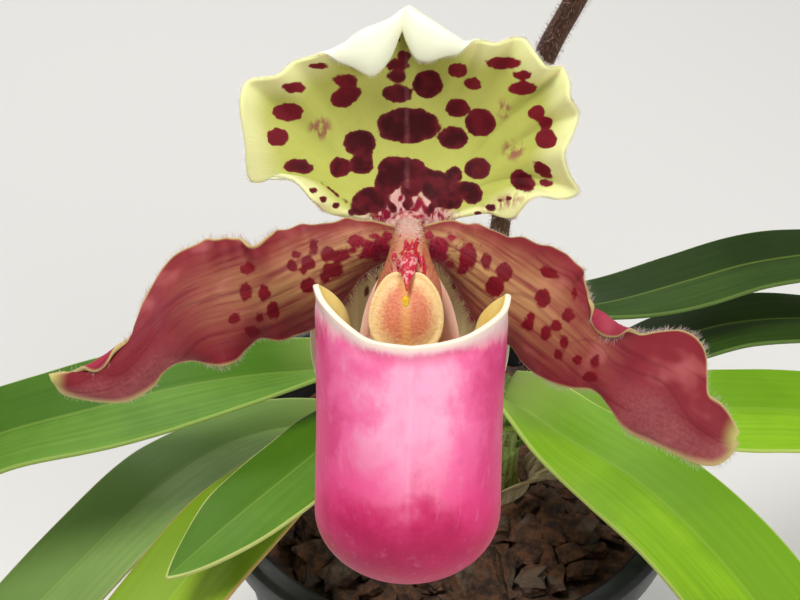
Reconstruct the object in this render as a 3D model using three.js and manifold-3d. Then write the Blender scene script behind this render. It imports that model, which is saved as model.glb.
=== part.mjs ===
// A slipper orchid (paphiopedilum) in a round nursery pot, with one open flower and one bud.
// Millimetres, +Z up, origin at the centre of the pot's underside. The flower faces -Y.

import * as THREE from 'three';
import { mergeVertices } from 'three/addons/utils/BufferGeometryUtils.js';
import Module from 'manifold-3d';

const wasm = await Module();
wasm.setup();

// ---------------------------------------------------------------- driving dimensions

const SEAT_GAP = 0.3; // clearance between two pieces that bear on each other

const POT_HEIGHT = 75;
const POT_BASE_RADIUS = 30;
const POT_TOP_RADIUS = 41;
const POT_WALL = 2;
const POT_FLOOR = 2.5;
const POT_RIM_OUT = 2.5; // how far the rim stands out past the wall
const POT_RIM_DEPTH = 10;
const DRAIN_HOLE_RADIUS = 4;
const DRAIN_HOLE_CIRCLE = 18;

const MEDIUM_TOP = 63; // top of the packed bark, under the loose chips
const CHIP_COUNT = 36;

const GROWTH_FOOT = 48; // how deep the growths stand in the bark
const GROWTH_1 = { x: -5, y: 8, top: 98 };
const GROWTH_2 = { x: 7, y: -1, top: 93 };

const LEAF_THICKNESS = 1.2;
const SCAPE_RADIUS = 1.4;
const OVARY_RADIUS = 1.8;
const OVARY_LENGTH = 32;

const HUB = new THREE.Vector3(-7.5, -69.1, 182.7); // where the flower's parts meet
const FLOWER_TILT = THREE.MathUtils.degToRad(42); // how far the flower looks up
const PETAL_THICKNESS = 0.8;
const POUCH_WALL = 1.0;
const HUB_RADIUS = 2.4;
const HUB_HALF_LENGTH = 3.9;
const HUB_MIDDLE = 1.4; // its middle, this far behind the meeting point

// Outlines of the flower are drawn as an eye sees them from this far in front of it, level
// with a point a little to the left of and below the hub.
const EYE_DISTANCE = 200;
const EYE_X = -1.1;
const EYE_Z = -6.9;

// ---------------------------------------------------------------- solids

const vector = (x, y, z) => new THREE.Vector3(x, y, z);

function toSolid(geometry) {
  const bare = new THREE.BufferGeometry().copy(geometry);
  bare.deleteAttribute('normal');
  bare.deleteAttribute('uv');
  const merged = mergeVertices(bare, 1e-4);
  const vertProperties = new Float32Array(merged.attributes.position.array);
  const triVerts = new Uint32Array(merged.index.array);
  return new wasm.Manifold(new wasm.Mesh({ numProp: 3, vertProperties, triVerts }));
}

function toGeometry(solid) {
  const mesh = solid.getMesh();
  const geometry = new THREE.BufferGeometry();
  geometry.setAttribute('position', new THREE.BufferAttribute(mesh.vertProperties, 3));
  geometry.setIndex(new THREE.BufferAttribute(mesh.triVerts, 1));
  return geometry;
}

// The biggest of the bodies that a cut left.
function mainBody(solid) {
  const bodies = solid.decompose();
  return bodies.reduce((best, body) => (body.volume() > best.volume() ? body : best));
}

// A sheet of even thickness round a grid of points, with a rim along its four sides. Its two
// faces have the same triangles, so it keeps its thickness wherever it waves.
function sheet(grid, thickness) {
  const rows = grid.length;
  const columns = grid[0].length;
  const positions = [];
  for (const side of [1, -1]) {
    for (let i = 0; i < rows; i += 1) {
      for (let j = 0; j < columns; j += 1) {
        const along = grid[Math.min(i + 1, rows - 1)][j].clone().sub(grid[Math.max(i - 1, 0)][j]);
        const across = grid[i][Math.min(j + 1, columns - 1)].clone().sub(grid[i][Math.max(j - 1, 0)]);
        const normal = along.cross(across).normalize();
        positions.push(...grid[i][j].clone().addScaledVector(normal, side * thickness / 2));
      }
    }
  }
  const front = (i, j) => i * columns + j;
  const back = (i, j) => rows * columns + front(i, j);
  const faces = [];
  for (let i = 0; i < rows - 1; i += 1) {
    for (let j = 0; j < columns - 1; j += 1) {
      faces.push(front(i, j), front(i + 1, j), front(i, j + 1));
      faces.push(front(i, j + 1), front(i + 1, j), front(i + 1, j + 1));
      faces.push(back(i, j), back(i, j + 1), back(i + 1, j));
      faces.push(back(i, j + 1), back(i + 1, j + 1), back(i + 1, j));
    }
  }
  const rim = [];
  for (let i = 0; i < rows - 1; i += 1) rim.push([i, 0]);
  for (let j = 0; j < columns - 1; j += 1) rim.push([rows - 1, j]);
  for (let i = rows - 1; i > 0; i -= 1) rim.push([i, columns - 1]);
  for (let j = columns - 1; j > 0; j -= 1) rim.push([0, j]);
  rim.forEach((here, k) => {
    const next = rim[(k + 1) % rim.length];
    faces.push(front(...next), front(...here), back(...here));
    faces.push(front(...next), back(...here), back(...next));
  });
  const geometry = new THREE.BufferGeometry();
  geometry.setAttribute('position', new THREE.Float32BufferAttribute(positions, 3));
  geometry.setIndex(faces);
  return toSolid(geometry);
}

// A closed body skinned over rings of points, each given in the same order from one end, with
// the first and last ring closed by a fan.
function skin(rings) {
  const sides = rings[0].length;
  const middle = (ring) => ring.reduce((sum, point) => sum.add(point), vector(0, 0, 0)).divideScalar(sides);
  const points = [...rings.flat(), middle(rings[0]), middle(rings[rings.length - 1])];
  const firstMiddle = points.length - 2;
  const lastMiddle = points.length - 1;
  const lastRing = (rings.length - 1) * sides;
  const faces = [];
  for (let k = 0; k < sides; k += 1) {
    const next = (k + 1) % sides;
    for (let i = 0; i < rings.length - 1; i += 1) {
      const here = i * sides;
      const there = here + sides;
      faces.push([here + k, here + next, there + k], [here + next, there + next, there + k]);
    }
    faces.push([firstMiddle, next, k], [lastMiddle, lastRing + k, lastRing + next]);
  }
  const build = (order) => {
    const geometry = new THREE.BufferGeometry();
    const positions = points.flatMap((point) => point.toArray());
    geometry.setAttribute('position', new THREE.Float32BufferAttribute(positions, 3));
    geometry.setIndex(faces.flatMap(order));
    return toSolid(geometry);
  };
  const solid = build(([a, b, c]) => [a, b, c]);
  return solid.volume() > 0 ? solid : build(([a, b, c]) => [a, c, b]);
}

// The two directions square to a curve at t, the first one kept as near +X as it can be.
function squareTo(curve, t) {
  const tangent = curve.getTangentAt(t);
  const right = vector(1, 0, 0).addScaledVector(tangent, -tangent.x).normalize();
  return { right, over: tangent.cross(right) };
}

// A ring of points round a curve at t, from an angle to a radius.
function ringAround(curve, t, angles, radius) {
  const { right, over } = squareTo(curve, t);
  return angles.map((angle) => curve.getPointAt(t)
    .addScaledVector(right, radius(angle) * Math.cos(angle))
    .addScaledVector(over, radius(angle) * Math.sin(angle)));
}

// A round stem along a curve between two shares of its length, whose radius may vary.
function stem(curve, { start = 0, end = 1, steps, sides, radius }) {
  const angles = Array.from({ length: sides }, (_, k) => 2 * Math.PI * k / sides);
  const rings = [];
  for (let i = 0; i <= steps; i += 1) {
    const t = i / steps;
    rings.push(ringAround(curve, mix(start, end, t), angles, (angle) => radius(t, angle)));
  }
  return skin(rings);
}

// A repeatable stream of numbers from 0 to 1.
function makeRandom(seed) {
  let state = seed;
  return () => {
    state = (state * 1664525 + 1013904223) % 4294967296;
    return state / 4294967296;
  };
}

const smooth = (from, to, value) => THREE.MathUtils.smoothstep(value, from, to);
const mix = THREE.MathUtils.lerp;

// ---------------------------------------------------------------- pot and medium

function makePot() {
  const wallAt = (z) => mix(POT_BASE_RADIUS, POT_TOP_RADIUS, z / POT_HEIGHT);
  const rimFoot = POT_HEIGHT - POT_RIM_DEPTH;
  const profile = [
    [0, 0],
    [POT_BASE_RADIUS - 1, 0],
    [wallAt(1), 1],
    [wallAt(rimFoot), rimFoot],
    [wallAt(rimFoot) + POT_RIM_OUT, rimFoot + 1],
    [POT_TOP_RADIUS + POT_RIM_OUT, POT_HEIGHT - 1],
    [POT_TOP_RADIUS + POT_RIM_OUT - 1, POT_HEIGHT],
    [POT_TOP_RADIUS - POT_WALL + 1, POT_HEIGHT],
    [POT_TOP_RADIUS - POT_WALL, POT_HEIGHT - 1],
    [wallAt(POT_FLOOR) - POT_WALL, POT_FLOOR],
    [0, POT_FLOOR],
  ].map(([r, z]) => new THREE.Vector2(r, z));
  const lathe = new THREE.LatheGeometry(profile, 36);
  lathe.rotateX(Math.PI / 2);
  let pot = toSolid(lathe);
  for (let k = 0; k < 6; k += 1) {
    const angle = Math.PI * k / 3;
    const drill = new THREE.CylinderGeometry(DRAIN_HOLE_RADIUS, DRAIN_HOLE_RADIUS, 3 * POT_FLOOR, 16);
    drill.rotateX(Math.PI / 2);
    drill.translate(DRAIN_HOLE_CIRCLE * Math.cos(angle), DRAIN_HOLE_CIRCLE * Math.sin(angle), 0);
    pot = pot.subtract(toSolid(drill));
  }
  return pot;
}

// One bark chip: a box with its corners knocked about.
function makeChip(random) {
  const chip = new THREE.BoxGeometry(6 + 6 * random(), 4 + 4 * random(), 2.5 + 2 * random());
  chip.deleteAttribute('normal');
  chip.deleteAttribute('uv');
  const merged = mergeVertices(chip);
  const points = merged.attributes.position;
  for (let i = 0; i < points.count; i += 1) {
    const shift = vector(random() - 0.5, random() - 0.5, random() - 0.5).multiplyScalar(2.4);
    points.setXYZ(i, points.getX(i) + shift.x, points.getY(i) + shift.y, points.getZ(i) + shift.z);
  }
  return merged;
}

function makeMedium() {
  const innerAt = (z) => mix(POT_BASE_RADIUS, POT_TOP_RADIUS, z / POT_HEIGHT) - POT_WALL - SEAT_GAP - 0.2;
  const foot = POT_FLOOR + SEAT_GAP;
  const profile = [
    [0, foot],
    [innerAt(foot) - 0.5, foot],
    [innerAt(MEDIUM_TOP), MEDIUM_TOP],
    [0, MEDIUM_TOP],
  ].map(([r, z]) => new THREE.Vector2(r, z));
  const lathe = new THREE.LatheGeometry(profile, 32);
  lathe.rotateX(Math.PI / 2);
  let medium = toSolid(lathe);
  const random = makeRandom(7);
  const goldenAngle = 2.399963;
  for (let k = 0; k < CHIP_COUNT; k += 1) {
    const reach = (innerAt(MEDIUM_TOP) - 8) * Math.sqrt((k + 0.5) / CHIP_COUNT);
    const chip = makeChip(random);
    chip.rotateX(0.9 * (random() - 0.5));
    chip.rotateY(0.9 * (random() - 0.5));
    chip.rotateZ(2 * Math.PI * random());
    chip.translate(
      reach * Math.cos(k * goldenAngle),
      reach * Math.sin(k * goldenAngle),
      MEDIUM_TOP + 0.6 + 1.2 * random(),
    );
    medium = medium.add(toSolid(chip));
  }
  for (const growth of [GROWTH_1, GROWTH_2]) {
    medium = medium.subtract(makeGrowth(growth, SEAT_GAP));
  }
  return mainBody(medium);
}

// ---------------------------------------------------------------- growths and leaves

// A growth's flat fan of leaf sheaths: a tapering oval stem with a step where each sheath ends.
function makeGrowth({ x, y, top }, grow = 0) {
  const rings = [];
  const foot = GROWTH_FOOT - grow;
  const head = top + grow;
  const steps = 12;
  for (let i = 0; i <= steps; i += 1) {
    const t = i / steps;
    const step = i % 4 === 3 ? -0.35 : 0;
    const wide = mix(7.2, 4.4, t) + step + grow;
    const deep = mix(5.6, 3.2, t) + step + grow;
    const ring = [];
    for (let k = 0; k < 20; k += 1) {
      const angle = 2 * Math.PI * k / 20;
      ring.push(vector(x + wide * Math.cos(angle), y + deep * Math.sin(angle), mix(foot, head, t)));
    }
    rings.push(ring);
  }
  return skin(rings);
}

// A strap leaf: narrow and folded at its foot, widest past its middle, with a keeled midrib.
function makeLeaf({ midrib, width, fold, foot = 0.52, blunt = 0.74 }) {
  const curve = new THREE.CatmullRomCurve3(midrib.map((point) => vector(...point)));
  const up = vector(0, 0, 1);
  const grid = [];
  const steps = 17;
  for (let i = 0; i <= steps; i += 1) {
    const t = i / steps;
    const tangent = curve.getTangentAt(t);
    const side = tangent.clone().cross(up).normalize();
    const face = side.clone().cross(tangent);
    const taper = 1 - ((Math.max(t, blunt) - blunt) / (1 - blunt)) ** 2.2;
    const half = width / 2 * mix(foot, 1, smooth(0, 0.4, t)) * Math.max(taper, 0.06);
    const degrees = mix(52, fold, smooth(0, 0.35, t)) * mix(1, 0.4, smooth(0.6, 1, t));
    const foldHere = THREE.MathUtils.degToRad(degrees);
    const row = [];
    for (const across of [-1, -0.5, 0, 0.5, 1]) {
      const point = curve.getPointAt(t);
      point.addScaledVector(side, half * across * Math.cos(foldHere));
      point.addScaledVector(face, half * (Math.abs(across) * Math.sin(foldHere) - 0.12 * across * across));
      row.push(point);
    }
    grid.push(row);
  }
  return sheet(grid, LEAF_THICKNESS);
}

// Midribs run from the growth outwards. The leaves of one side stand one above another.
const LEAVES = {
  leaf_left_1: {
    midrib: [[-8, 6, 93], [-22.8, -4.5, 99], [-32.7, -11.3, 104.3], [-44.3, -16.3, 106.5],
      [-58.6, -20.2, 105.2], [-73.2, -21.5, 101], [-96, -24, 91], [-118, -27, 77], [-132, -29, 65]],
    width: 21,
    fold: 14,
  },
  leaf_left_2: {
    midrib: [[-6, 3, 88], [-15, -10, 93.5], [-24.7, -25.6, 98], [-34.5, -41, 102],
      [-43.5, -50.5, 100.5]],
    width: 14.5,
    fold: 10,
    blunt: 0.62,
  },
  leaf_left_3: {
    midrib: [[-7, 3, 81], [-17, -6, 86], [-25.5, -18, 89.5], [-33.5, -30.5, 92.5], [-43.4, -45.6, 91],
      [-57, -64, 83], [-69, -80, 71], [-76, -90, 60]],
    width: 17,
    fold: 12,
  },
  leaf_left_4: {
    midrib: [[-10, 6, 73], [-23, 3, 78], [-36.6, -5, 82.5], [-49.4, -19, 85], [-64.3, -32.5, 78],
      [-82, -46, 65], [-97, -57, 49]],
    width: 18,
    fold: 12,
  },
  leaf_right_1: {
    midrib: [[8.5, -3.5, 90.5], [12, -12, 97], [18.6, -25, 103], [27.3, -36.8, 107], [38, -52.9, 107.5],
      [54, -77, 99], [66, -96, 85], [72, -106, 74]],
    width: 20,
    fold: 12,
    foot: 0.75,
  },
  leaf_right_2: {
    midrib: [[12, -3, 83], [22, -6.5, 90], [32, -9, 94.5], [46.2, -11.6, 97], [58.6, -10.8, 95.5],
      [80, -8, 88], [103, -5, 75], [121, -3, 62]],
    width: 20,
    fold: 8,
  },
  leaf_right_3: {
    midrib: [[0, 8, 94.5], [13, 8.5, 99], [29.6, 9.8, 102], [42.1, 13.8, 103], [54.1, 19.6, 102],
      [76, 31, 95], [98, 43, 83], [112, 51, 72]],
    width: 15,
    fold: 12,
  },
  leaf_right_4: {
    midrib: [[12.5, 0.5, 76], [22, 4, 84], [33.8, 8.1, 91], [42.7, 10.8, 93], [51.7, 14.3, 92.5],
      [70, 21, 87], [90, 28, 75], [103, 33, 63]],
    width: 14,
    fold: 12,
  },
};

// A papery sheath left by an old leaf, clasping a growth's foot and opening outwards.
function makeDrySheath({ growth, heading, foot, height, lean }) {
  const grid = [];
  for (let i = 0; i <= 6; i += 1) {
    const t = i / 6;
    const reach = 7.6 + SEAT_GAP + lean * t * t;
    const spread = mix(1.0, 0.25, t * t);
    const row = [];
    for (let j = 0; j <= 6; j += 1) {
      const angle = heading + spread * (j / 3 - 1);
      const ragged = i === 6 ? 1.2 * Math.sin(5 * j) : 0;
      row.push(vector(
        growth.x + reach * Math.cos(angle),
        growth.y + 0.85 * reach * Math.sin(angle),
        foot + height * t + ragged,
      ));
    }
    grid.push(row);
  }
  return sheet(grid, 0.6);
}

// ---------------------------------------------------------------- scapes, ovary, bracts and bud

const SCAPE_1_PATH = new THREE.CatmullRomCurve3([
  vector(GROWTH_1.x, GROWTH_1.y, GROWTH_1.top + 2 * SEAT_GAP),
  vector(-5.4, 3, 118),
  vector(-6.2, -12, 141),
  vector(-6.9, -32, 160.5),
  vector(-7.3, -51, 172.6),
  HUB.clone().add(vector(0, 4.6, -2.7)),
]);

const SCAPE_2_PATH = new THREE.CatmullRomCurve3([
  vector(GROWTH_2.x, GROWTH_2.y, GROWTH_2.top + 2 * SEAT_GAP),
  vector(6.6, -4, 112),
  vector(6.6, -13.5, 140),
  vector(7.8, -25.5, 166),
  vector(9.9, -34.2, 184.1),
  vector(12.3, -38.7, 194.2),
  vector(17, -44, 212),
  vector(20, -46.5, 224),
  vector(22.5, -51, 236),
  vector(25, -60, 246),
]);
const BUD_LENGTH = 30;
const BUD_OVARY_LENGTH = 19;

const shareFromTip = (path, length) => 1 - length / path.getLength();
const OVARY_1_START = shareFromTip(SCAPE_1_PATH, OVARY_LENGTH);
const OVARY_2_START = shareFromTip(SCAPE_2_PATH, BUD_OVARY_LENGTH + BUD_LENGTH);
const pastSeat = (path, start) => start + SEAT_GAP / path.getLength();

function makeScape(path, ovaryStart) {
  return stem(path, {
    end: ovaryStart,
    steps: 26,
    sides: 10,
    radius: (t) => SCAPE_RADIUS * mix(1.15, 0.95, t),
  });
}

// Six ribs run along an ovary, three of them stronger.
const ribs = (angle) => 0.13 * Math.cos(6 * angle) + 0.05 * Math.cos(3 * angle);

function makeOvary(path, start) {
  return stem(path, {
    start: pastSeat(path, start),
    steps: 12,
    sides: 24,
    radius: (t, angle) => {
      const body = OVARY_RADIUS * (1 - 0.25 * Math.abs(2 * t - 1) ** 3);
      return body * (1 + ribs(angle) * smooth(0, 0.15, t));
    },
  });
}

// A closed bud on its own ovary, swollen by the pouch inside it and drawn out to a blunt tip.
function makeBud(path, start) {
  const ovaryShare = BUD_OVARY_LENGTH / (BUD_OVARY_LENGTH + BUD_LENGTH);
  return stem(path, {
    start: pastSeat(path, start),
    steps: 20,
    sides: 18,
    radius: (t, angle) => {
      if (t < ovaryShare) return OVARY_RADIUS * 0.95 * (1 + ribs(angle) * smooth(0, 0.1, t));
      const u = (t - ovaryShare) / (1 - ovaryShare);
      const swell = OVARY_RADIUS + 4.6 * Math.sin(Math.PI * u ** 0.8) ** 0.9;
      return swell * mix(1, 0.35, smooth(0.75, 1, u)) * (1 + 0.06 * Math.cos(2 * angle));
    },
  });
}

// The bract that wraps an ovary's foot from below: half a tube that tapers to a point.
function makeBract(path, start, length) {
  const grid = [];
  const rows = 10;
  for (let i = 0; i <= rows; i += 1) {
    const t = i / rows;
    const spread = 1.9 * (1 - t ** 2) + 0.12;
    const reach = OVARY_RADIUS + 0.2 + 0.75 * smooth(0, 0.25, t) + 1.2 * t * t;
    const angles = Array.from({ length: 9 }, (_, j) => -Math.PI / 2 + spread * (j / 4 - 1));
    const share = start + (length * t - 1.5) / path.getLength();
    grid.push(ringAround(path, share, angles, () => reach));
  }
  return sheet(grid, 0.7);
}

// ---------------------------------------------------------------- flower, in its own frame

// A point drawn at x and z as the eye sees it, put at its own depth behind the hub.
function seen(x, z, depth) {
  const scale = 1 + depth / EYE_DISTANCE;
  return vector(x * scale - EYE_X * (scale - 1), depth, z * scale - EYE_Z * (scale - 1));
}

const edge = (points) => new THREE.CatmullRomCurve3(points.map((point) => seen(...point)));

// Goes out along a flat strip and, where the margin curls, turns over towards the eye.
function reachOut(strip, inward, curl, r) {
  const fold = 1 - 0.35 * Math.min(1, curl / 4);
  if (r <= fold) return strip(r / fold);
  const radius = Math.max(curl, 1.6) / 2;
  const turn = 0.85 * Math.PI * Math.min(1, curl / 1.6) * (r - fold) / (1 - fold);
  return strip(1)
    .addScaledVector(inward, radius * (1 - Math.cos(turn)))
    .add(vector(0, -0.9 * radius * Math.sin(turn), 0));
}

// A curl that rises and falls once along an edge.
const curlBetween = (from, peak, to, height) => (
  (t) => height * smooth(from, peak, t) * (1 - smooth(peak, to, t))
);

// A petal lies between an upper and a lower edge, hollowed along its middle line.
function makePetal({ upper, middle, lower, curl }) {
  const [top, middleLine, bottom] = [upper, middle, lower].map(edge);
  const grid = [];
  const steps = 30;
  for (let i = 0; i <= steps; i += 1) {
    const t = i / steps;
    const [a, m, b] = [top, middleLine, bottom].map((line) => line.getPointAt(t));
    const slope = a.clone().sub(b).multiplyScalar(0.5);
    const bend = a.clone().add(b).multiplyScalar(0.5).sub(m);
    const strip = (c) => m.clone().addScaledVector(slope, c).addScaledVector(bend, c * c);
    const inward = b.clone().sub(a).normalize();
    const row = [];
    for (const c of [-1, -0.75, -0.5, -0.25, 0]) row.push(strip(c));
    for (const r of [0.25, 0.5, 0.75, 0.88, 1]) row.push(reachOut(strip, inward, curl(t), r));
    grid.push(row);
  }
  return sheet(grid, PETAL_THICKNESS);
}

// Edge points are [x, z, depth] in the drawn view, from the hub to the tip.
const PETALS = {
  petal_left: {
    upper: [[-1.3, 1.1, 0.8], [-5.4, 2, 1.2], [-8.8, 1.7, 1.5], [-12.3, 1.2, 1.8], [-14.6, 0.9, 1.2],
      [-16, -0.1, -0.8], [-17.4, -0.6, -1.8], [-18.9, -0.2, -0.8], [-20.7, 0.1, 1], [-23.2, -0.5, 2.2],
      [-25.8, -1.7, 2.4], [-27.3, -3.2, 1.8], [-28.6, -5.2, 0.8], [-29.7, -7.2, -0.4],
      [-30.3, -9, -1.2], [-30.9, -10.8, -1.8], [-32.7, -12.3, -1.8], [-36, -14.3, -1.2],
      [-38.6, -15, -0.4], [-40.1, -15.3, 0.2]],
    middle: [[-1.6, -0.6, -0.2], [-5.3, -1.3, -0.6], [-9.4, -3, -1.2], [-13.3, -4.9, -1.8],
      [-17.2, -6.6, -2.2], [-21.1, -7.8, -2.2], [-24.4, -9.1, -1.8], [-27.2, -11.3, -1.6],
      [-29.7, -13.8, -2.2], [-32.8, -15.8, -2.6], [-36.7, -16.4, -1.8], [-39.8, -15.7, -0.2]],
    lower: [[-2, -2.2, 0.8], [-3.9, -3.1, 1.5], [-5.6, -4.3, 2.2], [-7.2, -6.6, 2.8], [-8.9, -8.7, 3],
      [-10.8, -10.1, 2.8], [-12.8, -10.8, 2], [-14.3, -11.4, 1], [-16.7, -11.1, 0.6], [-18.2, -12.3, 0],
      [-19.4, -13.7, -1.2], [-20.7, -14.2, -2], [-22.2, -14, -1.4], [-24.2, -13.5, 0.2],
      [-26.3, -13.9, 1.2], [-27.6, -14.9, 1], [-28.4, -16.2, 0.4], [-29.7, -17.2, -0.2],
      [-31.4, -18, -0.6], [-33.4, -18.1, -0.8], [-36.6, -17.7, -0.6], [-38.6, -17.1, -0.2],
      [-39.4, -15.9, 0.2]],
    curl: curlBetween(0.76, 0.86, 0.97, 1.6),
  },
  petal_right: {
    upper: [[1.6, 1.3, 0.8], [4.7, 1.9, 1.2], [6.7, 1.4, 1.5], [9.1, 0.9, 1.8], [11.1, 0, 1.6],
      [13.2, -0.3, 1.2], [15.2, -0.8, 1.6], [16.8, -1.6, 2], [18.3, -2.6, 1.8], [19.1, -3.2, 1.2],
      [19.4, -4.7, 0.2], [20, -6.6, -1], [20.6, -7.9, -1.4], [22.2, -8.9, -1.2], [24.1, -9.9, -0.6],
      [25.9, -10.6, 0.4], [27.7, -10.4, 1.4], [30.2, -10.3, 2.2], [31.8, -11.1, 2.2],
      [32.8, -12.6, 1.6], [33, -15.2, 0.4], [33.2, -17.4, -0.6], [34.6, -18.4, -0.4], [35.7, -20, 0.2],
      [36.5, -21.8, 0.6]],
    middle: [[1.6, -0.6, -0.2], [4.4, -1.3, -0.6], [7.6, -3.3, -1.4], [10.9, -5.8, -2],
      [14.4, -8.2, -2.2], [17.8, -10.8, -2.2], [20.9, -13.6, -2], [24.4, -16, -1.6],
      [27.8, -17.8, -1.4], [31.3, -20, -1.2], [34.7, -22.2, -0.6], [36.2, -22.2, 0.2]],
    lower: [[2, -2, 0.8], [3.3, -2.7, 1.5], [4.8, -4.4, 2.4], [6.3, -7, 2.8], [7.7, -9.7, 3],
      [9.6, -11.3, 3], [11.4, -12, 2.6], [12.7, -13.9, 2], [14.2, -15.2, 1.2], [16.2, -16.2, 0.6],
      [18, -16.7, 0], [20.3, -16.8, -0.4], [21.3, -17.4, -0.6], [22.6, -19.2, -0.8], [23.7, -21, -0.4],
      [25.2, -22.1, 0], [26.9, -22.8, 0.4], [29.5, -24, 0.6], [32, -25.1, 0.4], [34.1, -25.2, 0.2],
      [35.6, -24.1, 0.3], [36.4, -22.6, 0.6]],
    curl: curlBetween(0.44, 0.515, 0.63, 2.4),
  },
};

// The dorsal sepal's edge, from its lower left corner over the top to its lower right corner.
// Points are [x, z, depth, curl]; on both sides of the tip the margin rolls over forwards.
const DORSAL_EDGE = [
  [-4.7, 2.2, 3.8, 0], [-7.2, 2.5, 3.6, 0], [-9.5, 3, 1.8, 0], [-10.8, 4.2, -0.6, 0],
  [-12.7, 6.3, -0.2, 0], [-14.8, 6.9, 1, 0], [-17.7, 6.3, 1.5, 0], [-18.4, 10.7, -1, 0],
  [-18.9, 15.3, -2.5, 0], [-18.2, 17.4, -2, 0], [-14.8, 18.1, -3.5, 0], [-13, 19.6, -3, 0],
  [-10, 20.3, -4.5, 0.8], [-7.8, 21.1, -5, 2.6], [-4.9, 22.7, -5, 4.4], [-2.4, 23.7, -4, 3.2],
  [-0.8, 25, -3, 1.2], [0.1, 25.3, -2.8, 0.8], [1, 24.6, -3.2, 1.6], [2.6, 23.6, -4.5, 3.4],
  [4.7, 22.4, -5, 3], [6.3, 21.6, -4.5, 1.4], [7.9, 21.9, -3.5, 0.4], [9.7, 21.7, -3.5, 0],
  [11.7, 22.3, -2.5, 0], [12.8, 22.1, -2.5, 0], [14.1, 20.4, -3.5, 0], [15.2, 19.1, -3.5, 0],
  [17, 19, -2, 0], [17.8, 17.2, -2.8, 0], [17.8, 15.7, -3.2, 0], [18.8, 13.9, -1.5, 0],
  [18, 11.2, -2, 0], [17.2, 9.4, -2, 0], [17.8, 7, -0.5, 0], [18.8, 5.1, 1, 0], [17.4, 4.3, 1, 0],
  [14.6, 4.7, -0.5, 0], [13.3, 4.2, -0.8, 0], [11.7, 2.3, 1, 0], [10.9, 2.2, 2, 0], [9.1, 2.9, 3.2, 0],
  [6.7, 2.7, 3.8, 0], [5, 2.4, 3.8, 0],
];

function makeDorsalSepal() {
  const grid = DORSAL_EDGE.map(([x, z, depth, curl], i) => {
    const rim = seen(x, z, depth);
    const lean = Math.PI * (1 - i / (DORSAL_EDGE.length - 1));
    const root = seen(2.2 * Math.cos(lean), 1.2 + 1.3 * Math.sin(lean), 3.4);
    const inward = root.clone().sub(rim).normalize();
    const lift = 2.8 * smooth(13, 17.5, Math.abs(x)) * (1 - smooth(5, 12, z));
    const bow = vector(0, 3 * Math.sin(lean), lift);
    const strip = (r) => root.clone().lerp(rim, r).addScaledVector(bow, Math.sin(Math.PI * r));
    return [0, 0.2, 0.4, 0.6, 0.76, 0.9, 1].map((r) => reachOut(strip, inward, curl, r));
  });
  return sheet(grid, PETAL_THICKNESS);
}

// The two lower sepals are joined in one blade that hangs behind the pouch.
function makeSynsepal() {
  const half = [[1.6, -1.5, 4.2], [6.5, -4.3, 6.2], [10.2, -7.6, 8], [11.1, -11, 9], [10.2, -16, 10.5],
    [6.8, -22, 12], [1.2, -27.5, 13]];
  const middle = edge([[0, -1.5, 4.4], [0, -8, 9], [0, -14, 12], [0, -21, 14], [0, -27.8, 13.4]]);
  const right = edge(half);
  const left = edge(half.map(([x, z, depth]) => [-x, z, depth]));
  const grid = [];
  for (let i = 0; i <= 12; i += 1) {
    const [a, m, b] = [left, middle, right].map((line) => line.getPointAt(i / 12));
    const slope = b.clone().sub(a).multiplyScalar(0.5);
    const bend = a.clone().add(b).multiplyScalar(0.5).sub(m);
    const row = [];
    for (let j = -3; j <= 3; j += 1) {
      row.push(m.clone().addScaledVector(slope, j / 3).addScaledVector(bend, (j / 3) ** 2));
    }
    grid.push(row);
  }
  return sheet(grid, PETAL_THICKNESS);
}

// Height of the pouch's mouth at each angle round from the front: low in front, a horn on each
// side, a dip behind the horn, and a claw that climbs to the hub at the back.
const MOUTH_ANGLES = [0, 30, 60, 78, 100, 140, 163, 180];
const MOUTH_HEIGHTS = [-12.4, -11.8, -8.6, -5.3, -9, -11.6, -2.6, -1];

function mouthHeight(angle) {
  const degrees = Math.min(180, Math.abs(THREE.MathUtils.radToDeg(angle)));
  const k = Math.max(1, MOUTH_ANGLES.findIndex((stop) => stop >= degrees));
  const share = (degrees - MOUTH_ANGLES[k - 1]) / (MOUTH_ANGLES[k] - MOUTH_ANGLES[k - 1]);
  return mix(MOUTH_HEIGHTS[k - 1], MOUTH_HEIGHTS[k], smooth(0, 1, share));
}

const POUCH_HALF_WIDTH = 10.2; // as drawn
const POUCH_HALF_DEPTH = 9.4;
const BOWL_TOP = -31; // where the straight sides turn into the round toe
const BOWL_DROP = 7.5;

function pouchPoint(angle, s, inset) {
  const straight = 0.62;
  const mouth = mouthHeight(angle);
  const dome = Math.max(0, s - straight) / (1 - straight) * Math.PI / 2;
  const drop = Math.min(1, s / straight);
  const z = mix(mouth, BOWL_TOP, drop) - (BOWL_DROP - inset) * Math.sin(dome);
  const flare = 0.5 * (1 - drop) ** 3 + 0.25 * Math.max(0, (z + 20) / 14);
  const middle = mix(-9.6, -5, (z + 5) / -33.5);
  const wide = (POUCH_HALF_WIDTH + flare - inset) * Math.cos(dome) + 0.25;
  const deep = (POUCH_HALF_DEPTH - inset) * mix(1, 0.88, -z / 38) * Math.cos(dome) + 0.25;
  return seen(wide * Math.sin(angle) + mix(0.1, -0.25, drop), z, middle - deep * Math.cos(angle));
}

function makePouch() {
  const sides = 40;
  const levels = [0, 0.08, 0.2, 0.38, 0.62, 0.74, 0.86, 0.95, 1];
  const ringAt = (s, inset) => {
    const ring = [];
    for (let k = 0; k < sides; k += 1) ring.push(pouchPoint(2 * Math.PI * (k / sides - 0.5), s, inset));
    return ring;
  };
  const outside = levels.map((s) => ringAt(s, 0)).reverse();
  const inside = levels.map((s) => ringAt(s, POUCH_WALL));
  return skin([...outside, ...inside]);
}

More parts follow.
